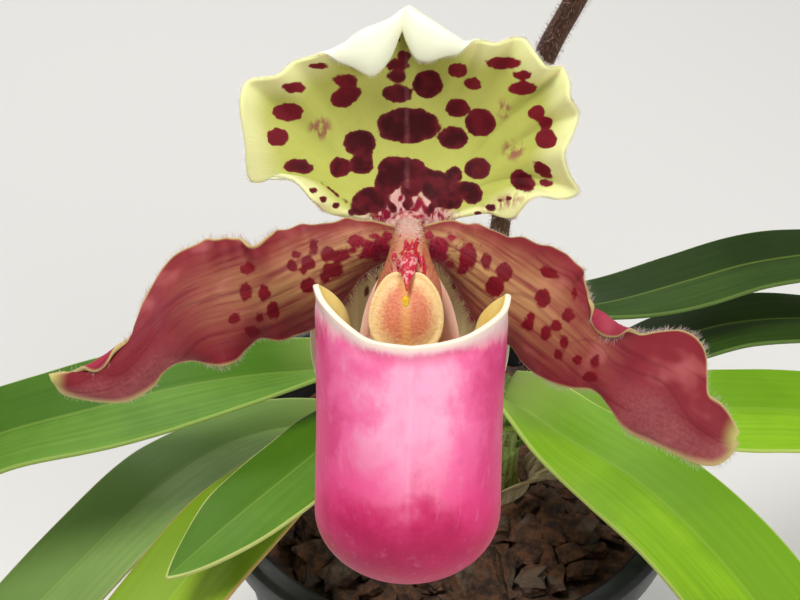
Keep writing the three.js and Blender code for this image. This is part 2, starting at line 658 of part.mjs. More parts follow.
// The hub that every part of the flower springs from, and the column's neck leaning out of it.
function makeHub(grow = 0) {
  const hub = new THREE.SphereGeometry(1, 16, 12);
  hub.scale(HUB_RADIUS + grow, HUB_HALF_LENGTH + grow, HUB_RADIUS + grow);
  hub.translate(0, HUB_MIDDLE, 0);
  const lean = new THREE.CatmullRomCurve3([vector(0, 0.5, 0), vector(0, -3, -1.6), vector(0, -6.2, -4.4)]);
  return toSolid(hub).add(stem(lean, { steps: 6, sides: 14, radius: (t) => mix(2.1, 1.5, t) + grow }));
}

// The column leans forward over the pouch's mouth, with a pollen lump on each side, the stigma
// under it and the shield of the staminode in front.
function makeColumn() {
  let column = makeHub();

  const shieldDepth = -6.6;
  const shield = new THREE.Shape();
  shield.moveTo(0, 4);
  shield.bezierCurveTo(1.2, 5.1, 3.9, 3.6, 3.8, 0.4);
  shield.bezierCurveTo(3.7, -2.4, 2, -4.2, 0, -4.3);
  shield.bezierCurveTo(-2, -4.2, -3.7, -2.4, -3.8, 0.4);
  shield.bezierCurveTo(-3.9, 3.6, -1.2, 5.1, 0, 4);
  const plate = new THREE.ExtrudeGeometry(shield, {
    depth: 0.5,
    bevelThickness: 0.3,
    bevelSize: 0.25,
    bevelSegments: 1,
    curveSegments: 6,
  });
  plate.rotateX(Math.PI / 2);
  const middle = seen(-0.2, -8.1, shieldDepth);
  plate.translate(middle.x, middle.y, middle.z);
  column = column.add(toSolid(plate));

  const boss = new THREE.SphereGeometry(0.8, 8, 6);
  boss.translate(middle.x, shieldDepth - 0.5, middle.z + 0.9);
  column = column.add(toSolid(boss));

  const stigma = new THREE.SphereGeometry(1, 12, 8);
  stigma.scale(2.1, 1.3, 2.6);
  stigma.translate(0, -3.6, -5.6);
  column = column.add(toSolid(stigma));

  for (const side of [-1, 1]) {
    const pollen = new THREE.SphereGeometry(1, 8, 6);
    pollen.scale(0.9, 1.1, 0.9);
    pollen.translate(side * 2.3, -3.4, -3);
    column = column.add(toSolid(pollen));
  }
  return column;
}

// ---------------------------------------------------------------- assembly

const COLOURS = {
  pot: { color: 0x1c1c1e, roughness: 0.6 },
  bark: { color: 0x4a2f1e, roughness: 0.95 },
  growth: { color: 0x7d9a45, roughness: 0.5 },
  leaf: { color: 0x5f9420, roughness: 0.35 },
  paper: { color: 0xc2ab80, roughness: 0.9 },
  scape: { color: 0x6b4a3e, roughness: 0.7 },
  bract: { color: 0x8a9a4a, roughness: 0.6 },
  dorsal: { color: 0xc8d070, roughness: 0.55 },
  synsepal: { color: 0xc4cf86, roughness: 0.55 },
  petal: { color: 0xb04c5a, roughness: 0.5 },
  pouch: { color: 0xe2509a, roughness: 0.35 },
  column: { color: 0xf0cfa0, roughness: 0.5 },
};

const orchid = new THREE.Group();
const flower = new THREE.Group();
flower.position.copy(HUB);
flower.rotation.x = -FLOWER_TILT;
orchid.add(flower);

function place(parent, name, solid, look) {
  const material = new THREE.MeshStandardMaterial({ ...COLOURS[look], metalness: 0 });
  const mesh = new THREE.Mesh(toGeometry(solid), material);
  mesh.name = name;
  parent.add(mesh);
}

place(orchid, 'pot', makePot(), 'pot');
place(orchid, 'potting_medium', makeMedium(), 'bark');
place(orchid, 'growth_1', makeGrowth(GROWTH_1), 'growth');
place(orchid, 'growth_2', makeGrowth(GROWTH_2), 'growth');

const growthRoom = makeGrowth(GROWTH_1, SEAT_GAP).add(makeGrowth(GROWTH_2, SEAT_GAP));
for (const [name, leaf] of Object.entries(LEAVES)) {
  place(orchid, name, mainBody(makeLeaf(leaf).subtract(growthRoom)), 'leaf');
}

const sheaths = {
  dry_sheath_1: { growth: GROWTH_2, heading: -0.5, foot: 68.5, height: 12, lean: 9 },
  dry_sheath_2: { growth: GROWTH_1, heading: -1.6, foot: 69.5, height: 9, lean: 4 },
};
for (const [name, sheath] of Object.entries(sheaths)) {
  place(orchid, name, makeDrySheath(sheath), 'paper');
}

place(orchid, 'scape_1', makeScape(SCAPE_1_PATH, OVARY_1_START), 'scape');
place(orchid, 'ovary_1', makeOvary(SCAPE_1_PATH, OVARY_1_START), 'scape');
place(orchid, 'bract_1', makeBract(SCAPE_1_PATH, OVARY_1_START, 17), 'bract');
place(orchid, 'scape_2', makeScape(SCAPE_2_PATH, OVARY_2_START), 'scape');
place(orchid, 'bud_2', makeBud(SCAPE_2_PATH, OVARY_2_START), 'bract');
place(orchid, 'bract_2', makeBract(SCAPE_2_PATH, OVARY_2_START, 17), 'bract');

const hubRoom = makeHub(SEAT_GAP);
const aroundHub = (solid) => mainBody(solid.subtract(hubRoom));
place(flower, 'dorsal_sepal', aroundHub(makeDorsalSepal()), 'dorsal');
place(flower, 'synsepal', aroundHub(makeSynsepal()), 'synsepal');
for (const [name, petal] of Object.entries(PETALS)) {
  place(flower, name, aroundHub(makePetal(petal)), 'petal');
}
place(flower, 'lip_pouch', aroundHub(makePouch()), 'pouch');
place(flower, 'column', makeColumn(), 'column');

export default orchid;
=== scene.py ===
# %% [markdown]
# # A slipper orchid in its pot
# The plant is made as it grows: a pot of bark, two fans of strap leaves, two hairy stalks, and on one of
# them an open flower with a spotted upper sepal, two waved petals and a pouch. Each blade is a fine grid
# laid on its edges and its middle line, and then given its thickness. The solids from the CAD step are the
# frame: each finished piece stands where its solid stood.

# %% Frame
from math import cos, pi, radians, sin, sqrt

import bpy
import numpy as np
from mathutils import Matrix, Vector


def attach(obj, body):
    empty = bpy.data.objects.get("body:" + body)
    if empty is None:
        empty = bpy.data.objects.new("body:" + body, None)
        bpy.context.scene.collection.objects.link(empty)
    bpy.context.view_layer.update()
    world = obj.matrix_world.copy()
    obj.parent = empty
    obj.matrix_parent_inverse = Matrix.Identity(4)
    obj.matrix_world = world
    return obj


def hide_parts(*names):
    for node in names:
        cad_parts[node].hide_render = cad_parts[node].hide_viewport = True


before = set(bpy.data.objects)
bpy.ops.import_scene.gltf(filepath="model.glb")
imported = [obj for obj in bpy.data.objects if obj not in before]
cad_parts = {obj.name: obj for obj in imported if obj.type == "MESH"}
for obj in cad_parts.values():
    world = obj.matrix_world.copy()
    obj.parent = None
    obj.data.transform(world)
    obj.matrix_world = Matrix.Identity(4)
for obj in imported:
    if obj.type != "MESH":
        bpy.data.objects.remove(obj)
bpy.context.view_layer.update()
print("the frame holds", len(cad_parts), "solids")

# %% [markdown]
# ## Units, colours and nodes
# Sizes are in millimetres and become metres when a mesh is made. Colours are hex values, as on a colour
# card, turned to the linear light that the renderer adds up. A finish is built like paint: a ground and
# then coat after coat, each of which follows a number, such as the distance to the margin.

# %% Units and colours
MM = 0.001
SEED = 11
pick = np.random.default_rng(SEED)


def table(text):
    """Rows of numbers from a text with a comma between the rows."""
    return [tuple(float(word) for word in row.split()) for row in text.split(",")]


def colour(card):
    """A hex colour as linear red, green, blue and alpha."""
    levels = [int(card[k:k + 2], 16) / 255 for k in (0, 2, 4)]
    return (*(v / 12.92 if v <= 0.04045 else ((v + 0.055) / 1.055) ** 2.4 for v in levels), 1.0)


print("a mid green reads as", [round(v, 3) for v in colour("6fa51e")])


# %% Nodes and coats
def add_node(kind, inputs, result=0, **settings):
    """Adds a node to the open finish, with its sockets by name or in order, and returns an output."""
    tree = finish.node_tree
    made = tree.nodes.new("ShaderNode" + kind)
    for name, value in settings.items():
        setattr(made, name, value)
    for socket, value in inputs.items() if isinstance(inputs, dict) else enumerate(inputs):
        if isinstance(value, bpy.types.NodeSocket):
            tree.links.new(value, made.inputs[socket])
        else:
            made.inputs[socket].default_value = colour(value) if isinstance(value, str) else value
    return made.outputs[result]


def open_finish(name, *stored):
    """Opens a material; returns the place on the piece and the numbers stored on its points."""
    global finish
    finish = bpy.data.materials.new(name)
    finish.use_nodes = True
    finish.node_tree.nodes.clear()
    outputs = {"grain": "Vector"}
    return [add_node("TexCoord", {}, "Object"),
            *(add_node("Attribute", {}, outputs.get(key, "Fac"), attribute_name=key) for key in stored)]


def uneven(at, size, detail=3, drawn=(1, 1, 1), roughness=0.5):
    """A cloudy number around 0.5. Its patches are about size wide, and longer where drawn is small."""
    stretched = add_node("Mapping", {"Vector": at, "Scale": [share / size for share in drawn]})
    return add_node("TexNoise", {"Vector": stretched, "Scale": 1, "Detail": detail, "Roughness": roughness})


def lay_coats(paint, *coats):
    """Lays colours over the paint. A coat is a colour, the number that it follows, where that number
    starts to show it, where it shows most, and how much that is, if not all."""
    for card, over, start, stop, *most in coats:
        share = add_node("MapRange", (over, start, stop, 0, *most), interpolation_type="SMOOTHSTEP")
        paint = add_node("Mix", {0: share, 6: paint, 7: card}, 2, data_type="RGBA")
    return paint


def seal(paint, height=0, strength=0, rise=0, **sockets):
    """Closes the open finish with a shader in this paint and a relief that rises by some mm."""
    sockets = {name.replace("_", " "): value for name, value in sockets.items()}
    bump = add_node("Bump", {"Height": height, "Strength": strength, "Distance": rise * MM})
    surface = add_node("BsdfPrincipled", {"Base Color": paint, **sockets, "Normal": bump})
    tree = finish.node_tree
    tree.links.new(surface, tree.nodes.new("ShaderNodeOutputMaterial").inputs["Surface"])
    return finish


# %% [markdown]
# ## Smooth lines through a few points
# A wire bent through a few points passes through each of them. So does the line used here, and it doesn't
# overshoot where they stand close together, which keeps waved margins clean.

# %% Lines
def shares(count):
    return np.linspace(0, 1, count)


def smooth(start, stop, value):
    """Rises gently from 0 at start to 1 at stop."""
    share = np.clip((value - start) / (stop - start), 0, 1)
    return share * share * (3 - 2 * share)


def blend(a, b, share):
    return a + (b - a) * share


def lengths(vectors):
    return np.linalg.norm(vectors, axis=-1)


def unit(vectors):
    return vectors / np.linalg.norm(vectors, axis=-1, keepdims=True)


def through(points, steps=24):
    """A fine polyline through the points, with some steps between each two of them."""
    p = np.array(points, float)
    p = np.vstack([2 * p[0] - p[1], p, 2 * p[-1] - p[-2]])
    s = (np.arange(steps) / steps)[:, None]
    runs = []
    for a, b, c, d in zip(p, p[1:], p[2:], p[3:]):
        d0, d1, d2 = (max(np.linalg.norm(v) ** 0.5, 1e-6) for v in (b - a, c - b, d - c))
        leave = ((b - a) / d0 - (c - a) / (d0 + d1) + (c - b) / d1) * d1
        arrive = ((c - b) / d1 - (d - b) / (d1 + d2) + (d - c) / d2) * d1
        runs.append((2 * s ** 3 - 3 * s ** 2 + 1) * b + (s ** 3 - 2 * s ** 2 + s) * leave
                    + (3 * s ** 2 - 2 * s ** 3) * c + (s ** 3 - s ** 2) * arrive)
    return np.vstack([*runs, p[-2][None]])


def run_of(line):
    """How far along a polyline each of its points is."""
    return np.concatenate([[0], np.cumsum(lengths(np.diff(line, axis=0)))])


def along(line, share, run=None):
    """Points on a polyline at shares of its steps, or of another run along it."""
    run = np.arange(len(line)) if run is None else run
    at = np.asarray(share) * run[-1]
    return np.stack([np.interp(at, run, column) for column in line.T], -1)


def measured(line, share):
    """Points on a polyline at shares of its length."""
    return along(line, share, run_of(line))


def evened(values, reach):
    """Each value as the mean of those up to reach places away."""
    window = np.ones(2 * reach + 1) / (2 * reach + 1)
    return np.convolve(np.pad(values, reach, mode="edge"), window, mode="valid")


# %% [markdown]
# ## The flower's own frame
# The flower looks up by 42 degrees. Its outlines are drawn flat, as an eye 200 mm in front of it sees
# them: x to the right, z up, and a third number for how far behind the hub a point lies. Moving a point
# back spreads it from the eye's axis, so the outline stays true whatever depth the margin waves to.

# %% Flower frame and camera
HUB = np.array([-7.5, -69.1, 182.7])  # where the flower's parts meet
TILT = radians(42)
EYE = np.array([-1.1, -200.0, -6.9])  # in the flower's frame
FLOWER_AXES = np.array([[1, 0, 0], [0, cos(TILT), -sin(TILT)], [0, sin(TILT), cos(TILT)]])
TO_EYE = -FLOWER_AXES[1]


def to_plant(points):
    """From the flower's frame to the plant's, in millimetres."""
    return HUB + np.asarray(points) @ FLOWER_AXES


def seen(drawn):
    """A point drawn at x and z, put at its own depth behind the hub."""
    x, z, depth = np.moveaxis(np.asarray(drawn, float)[..., :3], -1, 0)
    scale = 1 - depth / EYE[1]
    return np.stack([blend(EYE[0], x, scale), depth, blend(EYE[2], z, scale)], -1)


def drawn_at(points):
    """Where points of the flower's frame are drawn, as x and z."""
    scale = 1 - points[..., 1] / EYE[1]
    return np.stack([(points[..., k] - EYE[k]) / scale + EYE[k] for k in (0, 2)], -1)


PICTURE_WIDTH = 800
FOCAL_PIXELS = 1800
SENSOR = 36
camera_data = bpy.data.cameras.new("camera")
camera_data.sensor_width = SENSOR
camera_data.lens = SENSOR * FOCAL_PIXELS / PICTURE_WIDTH
camera_data.clip_start = 0.02
camera_data.clip_end = 20
camera = bpy.data.objects.new("camera", camera_data)
bpy.context.scene.collection.objects.link(camera)
camera.location = to_plant(EYE) * MM
camera.rotation_euler = (pi / 2 - TILT, 0, 0)
bpy.context.scene.camera = camera
print("the camera stands at", [round(v, 4) for v in camera.location])

# %% [markdown]
# ## Blades
# A sepal, a petal or a leaf is a thin blade: a flat grid primitive whose points are moved onto its shape.
# Solidify gives it two faces and a rim, and one round of subdivision rounds the rim. It carries numbers on
# its points: millimetres along and across for its veins, and the distances to the margin and to a spot.

# %% Pieces
def choose(piece):
    """Selects one piece alone and makes it the active one."""
    bpy.ops.object.select_all(action="DESELECT")
    if piece:
        piece.select_set(True)
        bpy.context.view_layer.objects.active = piece


def open_up(piece):
    """Opens a piece for editing, with all of it selected."""
    choose(piece)
    bpy.ops.object.mode_set(mode="EDIT")
    bpy.ops.mesh.select_all(action="SELECT")


def modify(piece, kind, **settings):
    """Gives a piece a modifier and applies it."""
    modifier = piece.modifiers.new(kind, kind)
    for name, value in settings.items():
        setattr(modifier, name, value)
    choose(piece)
    bpy.ops.object.modifier_apply(modifier=kind)


def soften(piece, rounds=1):
    """Subdivides a piece and smooths its shading."""
    if rounds:
        modify(piece, "SUBSURF", levels=rounds, render_levels=rounds)
    choose(piece)
    bpy.ops.object.shade_smooth()


def just_added(name, *finishes):
    """The piece that a primitive has just added, with its name and its finishes."""
    piece = bpy.context.object
    piece.name = piece.data.name = name
    for finish in finishes:
        piece.data.materials.append(finish)
    return piece


def settle(piece, slot, *nodes):
    """The piece rides on the plant and stands for its solids, which are hidden. The slot is not used."""
    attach(piece, "root")
    if nodes:
        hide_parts(*nodes)
    print(f"{piece.name}: {sum(len(face.vertices) - 2 for face in piece.data.polygons)} triangles")


# %% Making a blade
def lay_grid(name, points, marks, toward, *finishes):
    """A grid primitive laid on points[row, column], in mm, with its front facing toward."""
    rows, columns = points.shape[:2]
    marks = {key: mark if mark.ndim == 3 else mark + np.zeros((rows, columns)) for key, mark in marks.items()}
    front = np.cross(np.gradient(points, axis=1), np.gradient(points, axis=0))
    if (front * toward).sum() < 0:
        points = points[:, ::-1]
        marks = {key: mark[:, ::-1] for key, mark in marks.items()}
    choose(None)
    bpy.ops.mesh.primitive_grid_add(x_subdivisions=columns - 1, y_subdivisions=rows - 1, size=1)
    piece = just_added(name, *finishes)
    piece.data.vertices.foreach_set("co", np.ascontiguousarray(points * MM, dtype=np.float32).ravel())
    for key, mark in marks.items():
        kind, field = ("FLOAT_VECTOR", "vector") if mark.ndim == 3 else ("FLOAT", "value")
        stored = piece.data.attributes.new(key, kind, "POINT").data
        stored.foreach_set(field, np.ascontiguousarray(mark, dtype=np.float32).ravel())
    return piece


def make_blade(name, slot, node, points, marks, toward, thickness, *finishes, spots=()):
    """A blade of even thickness that stands for a node. Its finishes are for the front and the reverse."""
    piece = lay_grid(name, points, marks, toward, *finishes)
    modify(piece, "SOLIDIFY", thickness=thickness * MM, offset=0, material_offset=len(finishes) - 1)
    soften(piece)
    if spots:
        draw_spots(piece, spots)
    settle(piece, slot, node)


def grain_of(points):
    """Millimetres along and across a blade, from its first row and its middle column, and then those from
    its two side margins."""
    rows, columns = points.shape[:2]
    steps = lengths(np.diff(points, axis=0)).mean(1)
    run = np.concatenate([[0], np.cumsum(steps)])[:, None].repeat(columns, 1)
    reach = np.concatenate([np.zeros((rows, 1)), np.cumsum(lengths(np.diff(points, axis=1)), 1)], 1)
    reach = reach - reach[:, columns // 2][:, None]
    return np.stack([run, reach, 0 * run], -1), reach - reach[:, :1], reach[:, -1:] - reach


# %% Spots
SPOT_MERGE = 0.1  # mm, how softly two neighbouring spots run together
NO_SPOT = 9.0  # the distance stored where no spot shall show


def spot_field(drawn, spots):
    """Millimetres from each drawn place to the edge of the nearest spot, negative inside one."""
    near = np.full(drawn.shape[:2], 1e-12)
    for x, z, wide, tall, *turn in spots:
        angle = radians(sum(turn))
        dx = drawn[..., 0] - x
        dz = drawn[..., 1] - z
        a = (dx * cos(angle) + dz * sin(angle)) / wide
        b = (dz * cos(angle) - dx * sin(angle)) / tall
        distance = (np.hypot(a, b) - 1) * min(wide, tall)
        near += np.exp(np.clip(-distance / SPOT_MERGE, -27, 40))
    return -SPOT_MERGE * np.log(near)


def draw_spots(piece, spots):
    """Works the distance out again at each point of a finished blade, which is finer than its grid."""
    places = np.empty(len(piece.data.vertices) * 3, np.float32)
    known = np.empty(len(piece.data.vertices), np.float32)
    mark = piece.data.attributes["spot"].data
    piece.data.vertices.foreach_get("co", places)
    mark.foreach_get("value", known)
    drawn = drawn_at((places.reshape(1, -1, 3) / MM - HUB) @ FLOWER_AXES.T)
    fresh = np.where(known > NO_SPOT / 2, NO_SPOT, spot_field(drawn, spots)[0])
    mark.foreach_set("value", fresh.astype(np.float32))


# %% [markdown]
# ## Petal tissue
# Petal tissue is a wet, slightly clear skin over rows of cells. Light goes a little way in and comes out
# coloured, so it has subsurface light, and the cells break the gloss into a fine grain. Its index of
# refraction is that of water in a cell wall, about 1.38. Spots are pigment in the top layer: they only
# change the colour, with an edge that follows the cells, so their distance is shaken by a fine noise.

# %% Sepal finishes
VEIN_PITCH = 1.1  # mm between the veins of a sepal or petal
CELL = 0.16  # mm, about twice the real size of an epidermal cell, so that it shows


def tissue(place, paint, roughness, depth, relief=0, weight=0, cells=0.05, gloss=0.5):
    """Closes a finish as living tissue: a faintly grainy skin with light that goes depth mm into it."""
    grains = add_node("TexVoronoi", {"Vector": place, "Scale": 1 / (CELL * MM)})
    height = add_node("Math", (grains, cells), operation="MULTIPLY")
    height = add_node("Math", (relief, weight, height), operation="MULTIPLY_ADD")
    return seal(paint, height, 0.6, 0.4, Roughness=roughness, IOR=1.38, Specular_IOR_Level=gloss,
                Subsurface_Weight=0.35, Subsurface_Radius=(1.0, 0.45, 0.3), Subsurface_Scale=depth * MM)


def dorsal_front():
    """Green ground with veins that fan out, pale at the margin, pink at the root, with wine-red spots."""
    place, grain, reach, margin, spot, freckle, middle = open_finish(
        "upper sepal tissue, front", "grain", "reach", "margin", "spot", "freckle", "middle")
    veins = uneven(grain, 0.1, drawn=(3, 0.05, 1))
    cloud = uneven(place, 6 * MM, 2)
    streaks = uneven(place, 0.9 * MM, drawn=(1, 0.5, 0.5))
    flesh = lay_coats("ecc2b8", ("941a34", veins, 0.4, 0.6, 0.5), ("8a1230", streaks, 0.46, 0.58))
    stroke = uneven(place, 0.6 * MM, 2, (1, 0.45, 0.45))
    stroke = add_node("MapRange", (stroke, 0.42, 0.55, 0, 0.85))
    ground = lay_coats(
        "b4b956",
        ("c9cb6c", cloud, 0, 1),
        ("97a03a", veins, 0.5, 0.75, 0.4),
        ("ecebaa", margin, 4.2, 0.3),
        (flesh, reach, 4.6, 1.6),
        ("9c5650", freckle, 0.4, -0.6, stroke),
    )
    wobble = uneven(place, 0.9 * MM)
    patch = uneven(place, 1.8 * MM)
    shaken = add_node("Math", (wobble, 0.6, spot), operation="MULTIPLY_ADD")
    broken = add_node("MapRange", (wobble, 0.35, 0.65, 0.15, 0.45))
    wine = lay_coats(
        "400a12",
        ("64161f", patch, 0.4, 0.66),
        ("74202a", shaken, -0.07, 0.28, 0.6),
        ("861a28", reach, 10, 18, 0.7),
        ("96585c", middle, 0.5, 0, broken),
    )
    return tissue(place, lay_coats(ground, (wine, shaken, 0.4, 0.26)), 0.5, 1.2, veins, 0.25, gloss=0.2)


def dorsal_reverse():
    """Cream, green inwards, tanned at the root, with the ghosts of the spots."""
    place, reach, margin, spot = open_finish("upper sepal tissue, reverse", "reach", "margin", "spot")
    paint = lay_coats(
        "c3cc84",
        ("faf8da", margin, 9, 3),
        ("a8606a", spot, 0.3, -0.5, 0.35),
        ("b09a66", reach, 13, 6, 0.9),
    )
    return tissue(place, paint, 0.5, 1.2)


SEPAL_FINISHES = dorsal_front(), dorsal_reverse()
print("finishes:", *(finish.name for finish in SEPAL_FINISHES))

# %% [markdown]
# ## The dorsal sepal
# The upper sepal stands over the flower like a hood. Its margin waves, and on both sides of the tip it
# rolls over forwards, so that its cream reverse shows. The blade is a fan of rays from its root to its
# edge. Where the margin rolls, a ray ends in an arc that turns out, towards the eye and back in.

# %% Dorsal sepal, drawn
BLADE = 0.6  # mm, how thick a sepal or petal is

# x, z, depth and curl of the edge, from its lower left corner over the top to its lower right corner
DORSAL_EDGE = table("""
    -4.7 2.2 3.3 0, -7.2 2.5 2.9 0, -9.5 3 1.5 0, -10.8 4.2 -.6 0, -12.7 6.3 -.2 0, -14.8 6.9 1 0,
    -17.7 6.3 1.5 0, -18.4 10.7 -1 0, -18.9 15.3 -2.5 0, -18.2 17.4 -2 0, -14.8 18.1 -3.5 0,
    -13 19.6 -3 0, -10 20.3 -4.5 .7, -7.8 21.1 -5 2.2, -4.9 22.7 -5 5.5, -2.4 23.7 -4 4.4, -.8 25 -3 2.2,
    .1 25.3 -3 4.2, 1 24.6 -3.2 5.2, 2.6 23.6 -4.5 4.6, 4.7 22.4 -5 2.6, 6.3 21.6 -4.5 1.3,
    7.9 21.9 -3.5 .4, 9.7 21.7 -3.5 0, 11.7 22.3 -2.5 0, 12.8 22.1 -2.5 0, 14.1 20.4 -3.5 0,
    15.2 19.1 -3.5 0, 17 19 -2 0, 17.8 17.2 -2.8 0, 17.8 15.7 -3.2 0, 18.8 13.9 -1.5 0, 18 11.2 -2 0,
    17.2 9.4 -2 0, 17.8 7 -.5 0, 18.8 5.1 1 0, 17.4 4.3 1 0, 14.6 4.7 -.5 0, 13.3 4.2 -.8 0,
    11.7 2.3 .6 0, 10.9 2.2 1.2 0, 9.1 2.9 2.1 0, 6.7 2.7 2.8 0, 5 2.4 3.1 0""")

# x, z, half width, half height and turn of each wine-red spot
DORSAL_SPOTS = table("""
    -10.1 19.1 .84 .31, -12.8 16.7 1.31 .58, -13.5 14 1.63 1, -14.7 11.2 1.18 1, -12.5 8 1.44 .79,
    -11.5 7.6 .58 .52, -7.1 17.5 1.36 .73, -7.2 15.7 1.84 1.1 20, -1.5 22 .31 .26, -.7 20.2 .66 .58,
    -1.3 19.2 1.44 .66, -1.5 17.9 1.1 .63, -1.4 16 1.63 1, 2 17.1 1.63 1.57, 5.3 18.6 1 .79,
    7 17.1 .94 .68, -.2 12.5 3.54 1.97, 4.8 11.1 1.63 1.31, 5.3 14.4 1.36 1.05, 7.8 12.8 1.7 1.57,
    10.4 19.4 1.84 .66, 12.4 18.1 1.05 .47, 12.5 16.6 1.57 .73, 14.1 13.9 .92 .79, 15.1 12.8 .84 .73,
    15.1 11 1.21 1.1, 14.7 7.6 1.31 .63 -40, 15.1 6.1 .73 .42, 12.5 6.3 1.44 1.05 -35,
    -5.6 10.6 1.78 1.44, -4.9 9.3 .79 1.05, -7.8 7.8 1.18 1.1, -5.4 8.2 1.31 1.1, 7.5 7.7 1.44 1.18,
    4.9 7 .92 .92, -1.9 7.3 1.7 1.84, .7 7.6 1.18 1.18, -4.3 4.2 1.97 1.44, 2.9 5.7 1.7 1.7,
    4.4 4.2 1.57 1.05, 6.9 4.9 1.18 1.18, .2 5.5 1.1 .95, -2.7 6 1.3 1.3, -.7 7.9 1.5 1.1,
    1.6 6.7 1.3 1.1, 5.7 5.4 1.3 .9, -5.4 3.4 1.1 .9, -.2 3.9 .5 .9, -2 3.4 .4 .7 30, 2.4 3.3 .4 .7 -30,
    -10.7 5.3 .36 .3, -9.6 4.3 .34 .3, -8.2 3.6 .36 .3, -8.4 5 1.1 .16 -38, -6.5 2.8 .4 .32,
    9 3.4 .58 .37, 7.5 2.7 .31 .26, 10 4.2 .31 .26, 10.9 4.4 .31 .26""")
DORSAL_FRECKLES = table("-10 12.3 1.31 1.31, 10.5 14.4 .79 1.05, 11.6 9.8 1.31 1.31, 10.6 3.9 2.4 .7 15")

# Which way a ray leaves the root, in degrees, at places along the edge. Where the margin doubles back, a
# straight ray would cross its neighbours, so each ray leaves in the fan and bends to its place further out.
FAN = table("""
    0 158, 1 156.5, 2 155, 4 150, 5 147, 6 144, 7 141, 8 138, 9 134, 10 127, 12 114, 14 102, 16 93,
    17 90, 19 83, 21 75, 23 68, 25 60, 27 52, 29 46, 31 41, 33 38, 35 36, 37 34, 39 32, 40 31, 41 27,
    42 24, 43 22.5""")
print(len(DORSAL_SPOTS), "spots on the upper sepal")


# %% Dorsal sepal
ROLL_LEAST = 1.6  # mm, the width of the narrowest roll
ROLL_FULL = 4  # mm, from this curl on a roll takes up its whole share of a ray
ROLL_SHARE = 0.35
ROLL_TURN = 1.35 * pi
CALM = 20  # rays to either side over which the margin's waves are evened out further in
FAN_WIDTH = 44  # mm, over which the veins are spread at the margin


def fold_of(curl):
    """The share of a ray that lies flat, before its end rolls over."""
    return 1 - ROLL_SHARE * np.minimum(1, curl / ROLL_FULL)


def reach_out(strip, outward, half_width, curl, r):
    """Goes out along a strip, given as a function of the share gone; where the margin curls, the end
    rolls over towards the eye."""
    amount = np.minimum(1, curl / ROLL_LEAST)
    radius = np.maximum(curl, ROLL_LEAST) / 2
    fold = fold_of(curl)
    gone = np.minimum(r / fold, 1) * (1 - radius * amount / half_width)
    turn = ROLL_TURN * amount * np.clip((r - fold) / np.maximum(1 - fold, 1e-6), 0, 1)
    lift = np.zeros_like(outward)
    lift[..., 1] = -0.5 * radius * (1 - np.cos(turn))
    return strip(gone) + outward * (radius * amount * np.sin(turn))[..., None] + lift


def dorsal_points(rays=240, steps=50):
    """The blade's points, and each ray's length, curl and place along the edge."""
    index = shares(rays)
    edge = along(through(DORSAL_EDGE), index)
    lean = pi * (1 - index)
    root = seen(np.stack([2.2 * np.cos(lean), 1.2 + 1.3 * np.sin(lean), 3.4 + 0 * lean], -1))
    spread = seen(edge) - root
    length = lengths(spread)
    fan = np.radians(np.interp(index * (len(DORSAL_EDGE) - 1), *through(FAN).T))
    calm = evened(evened(spread[:, 1], CALM), CALM)
    first = np.stack([np.cos(fan) * length, calm, np.sin(fan) * length], -1)

    def strip(gone):
        late = gone[:, None] ** 3
        path = root + first * (gone[:, None] - late) + spread * late
        path[:, 1] += 3 * np.sin(lean) * np.sin(pi * gone)  # hollowed like a hood
        path[:, 1] += (spread[:, 1] - calm) * (gone ** 7 - gone ** 3)  # waves only near the margin
        return path

    curl = np.maximum(edge[:, 3], 0)
    points = np.stack([reach_out(strip, unit(spread), length, curl, np.full(rays, r))
                       for r in shares(steps)], 1)
    return points, length[:, None], curl[:, None], index[:, None]


dorsal, ray, curl, index = dorsal_points()
share = shares(dorsal.shape[1])
x, z = np.moveaxis(drawn_at(dorsal), -1, 0)
flat = share < fold_of(curl) + 1e-6
dorsal_marks = {
    "grain": np.dstack([FAN_WIDTH * index + 0 * x, share * ray, 0 * x]),
    "reach": share * ray,
    "margin": (1 - share) * ray,
    "spot": np.where(flat, spot_field(drawn_at(dorsal), DORSAL_SPOTS), NO_SPOT),
    "freckle": spot_field(drawn_at(dorsal), DORSAL_FRECKLES),
    "middle": np.where(flat & (z > 5), abs(x + 0.35), NO_SPOT),
}
make_blade("upper_sepal", "dorsal", "dorsal_sepal", to_plant(dorsal), dorsal_marks, TO_EYE, BLADE,
           *SEPAL_FINISHES, spots=DORSAL_SPOTS)

# %% [markdown]
# ## Petal finishes
# A petal is rose over a yellow-green ground that shows along its middle near the flower. Its margin is
# cream and its tip green. One function paints both sides, the reverse plainer and pinker.

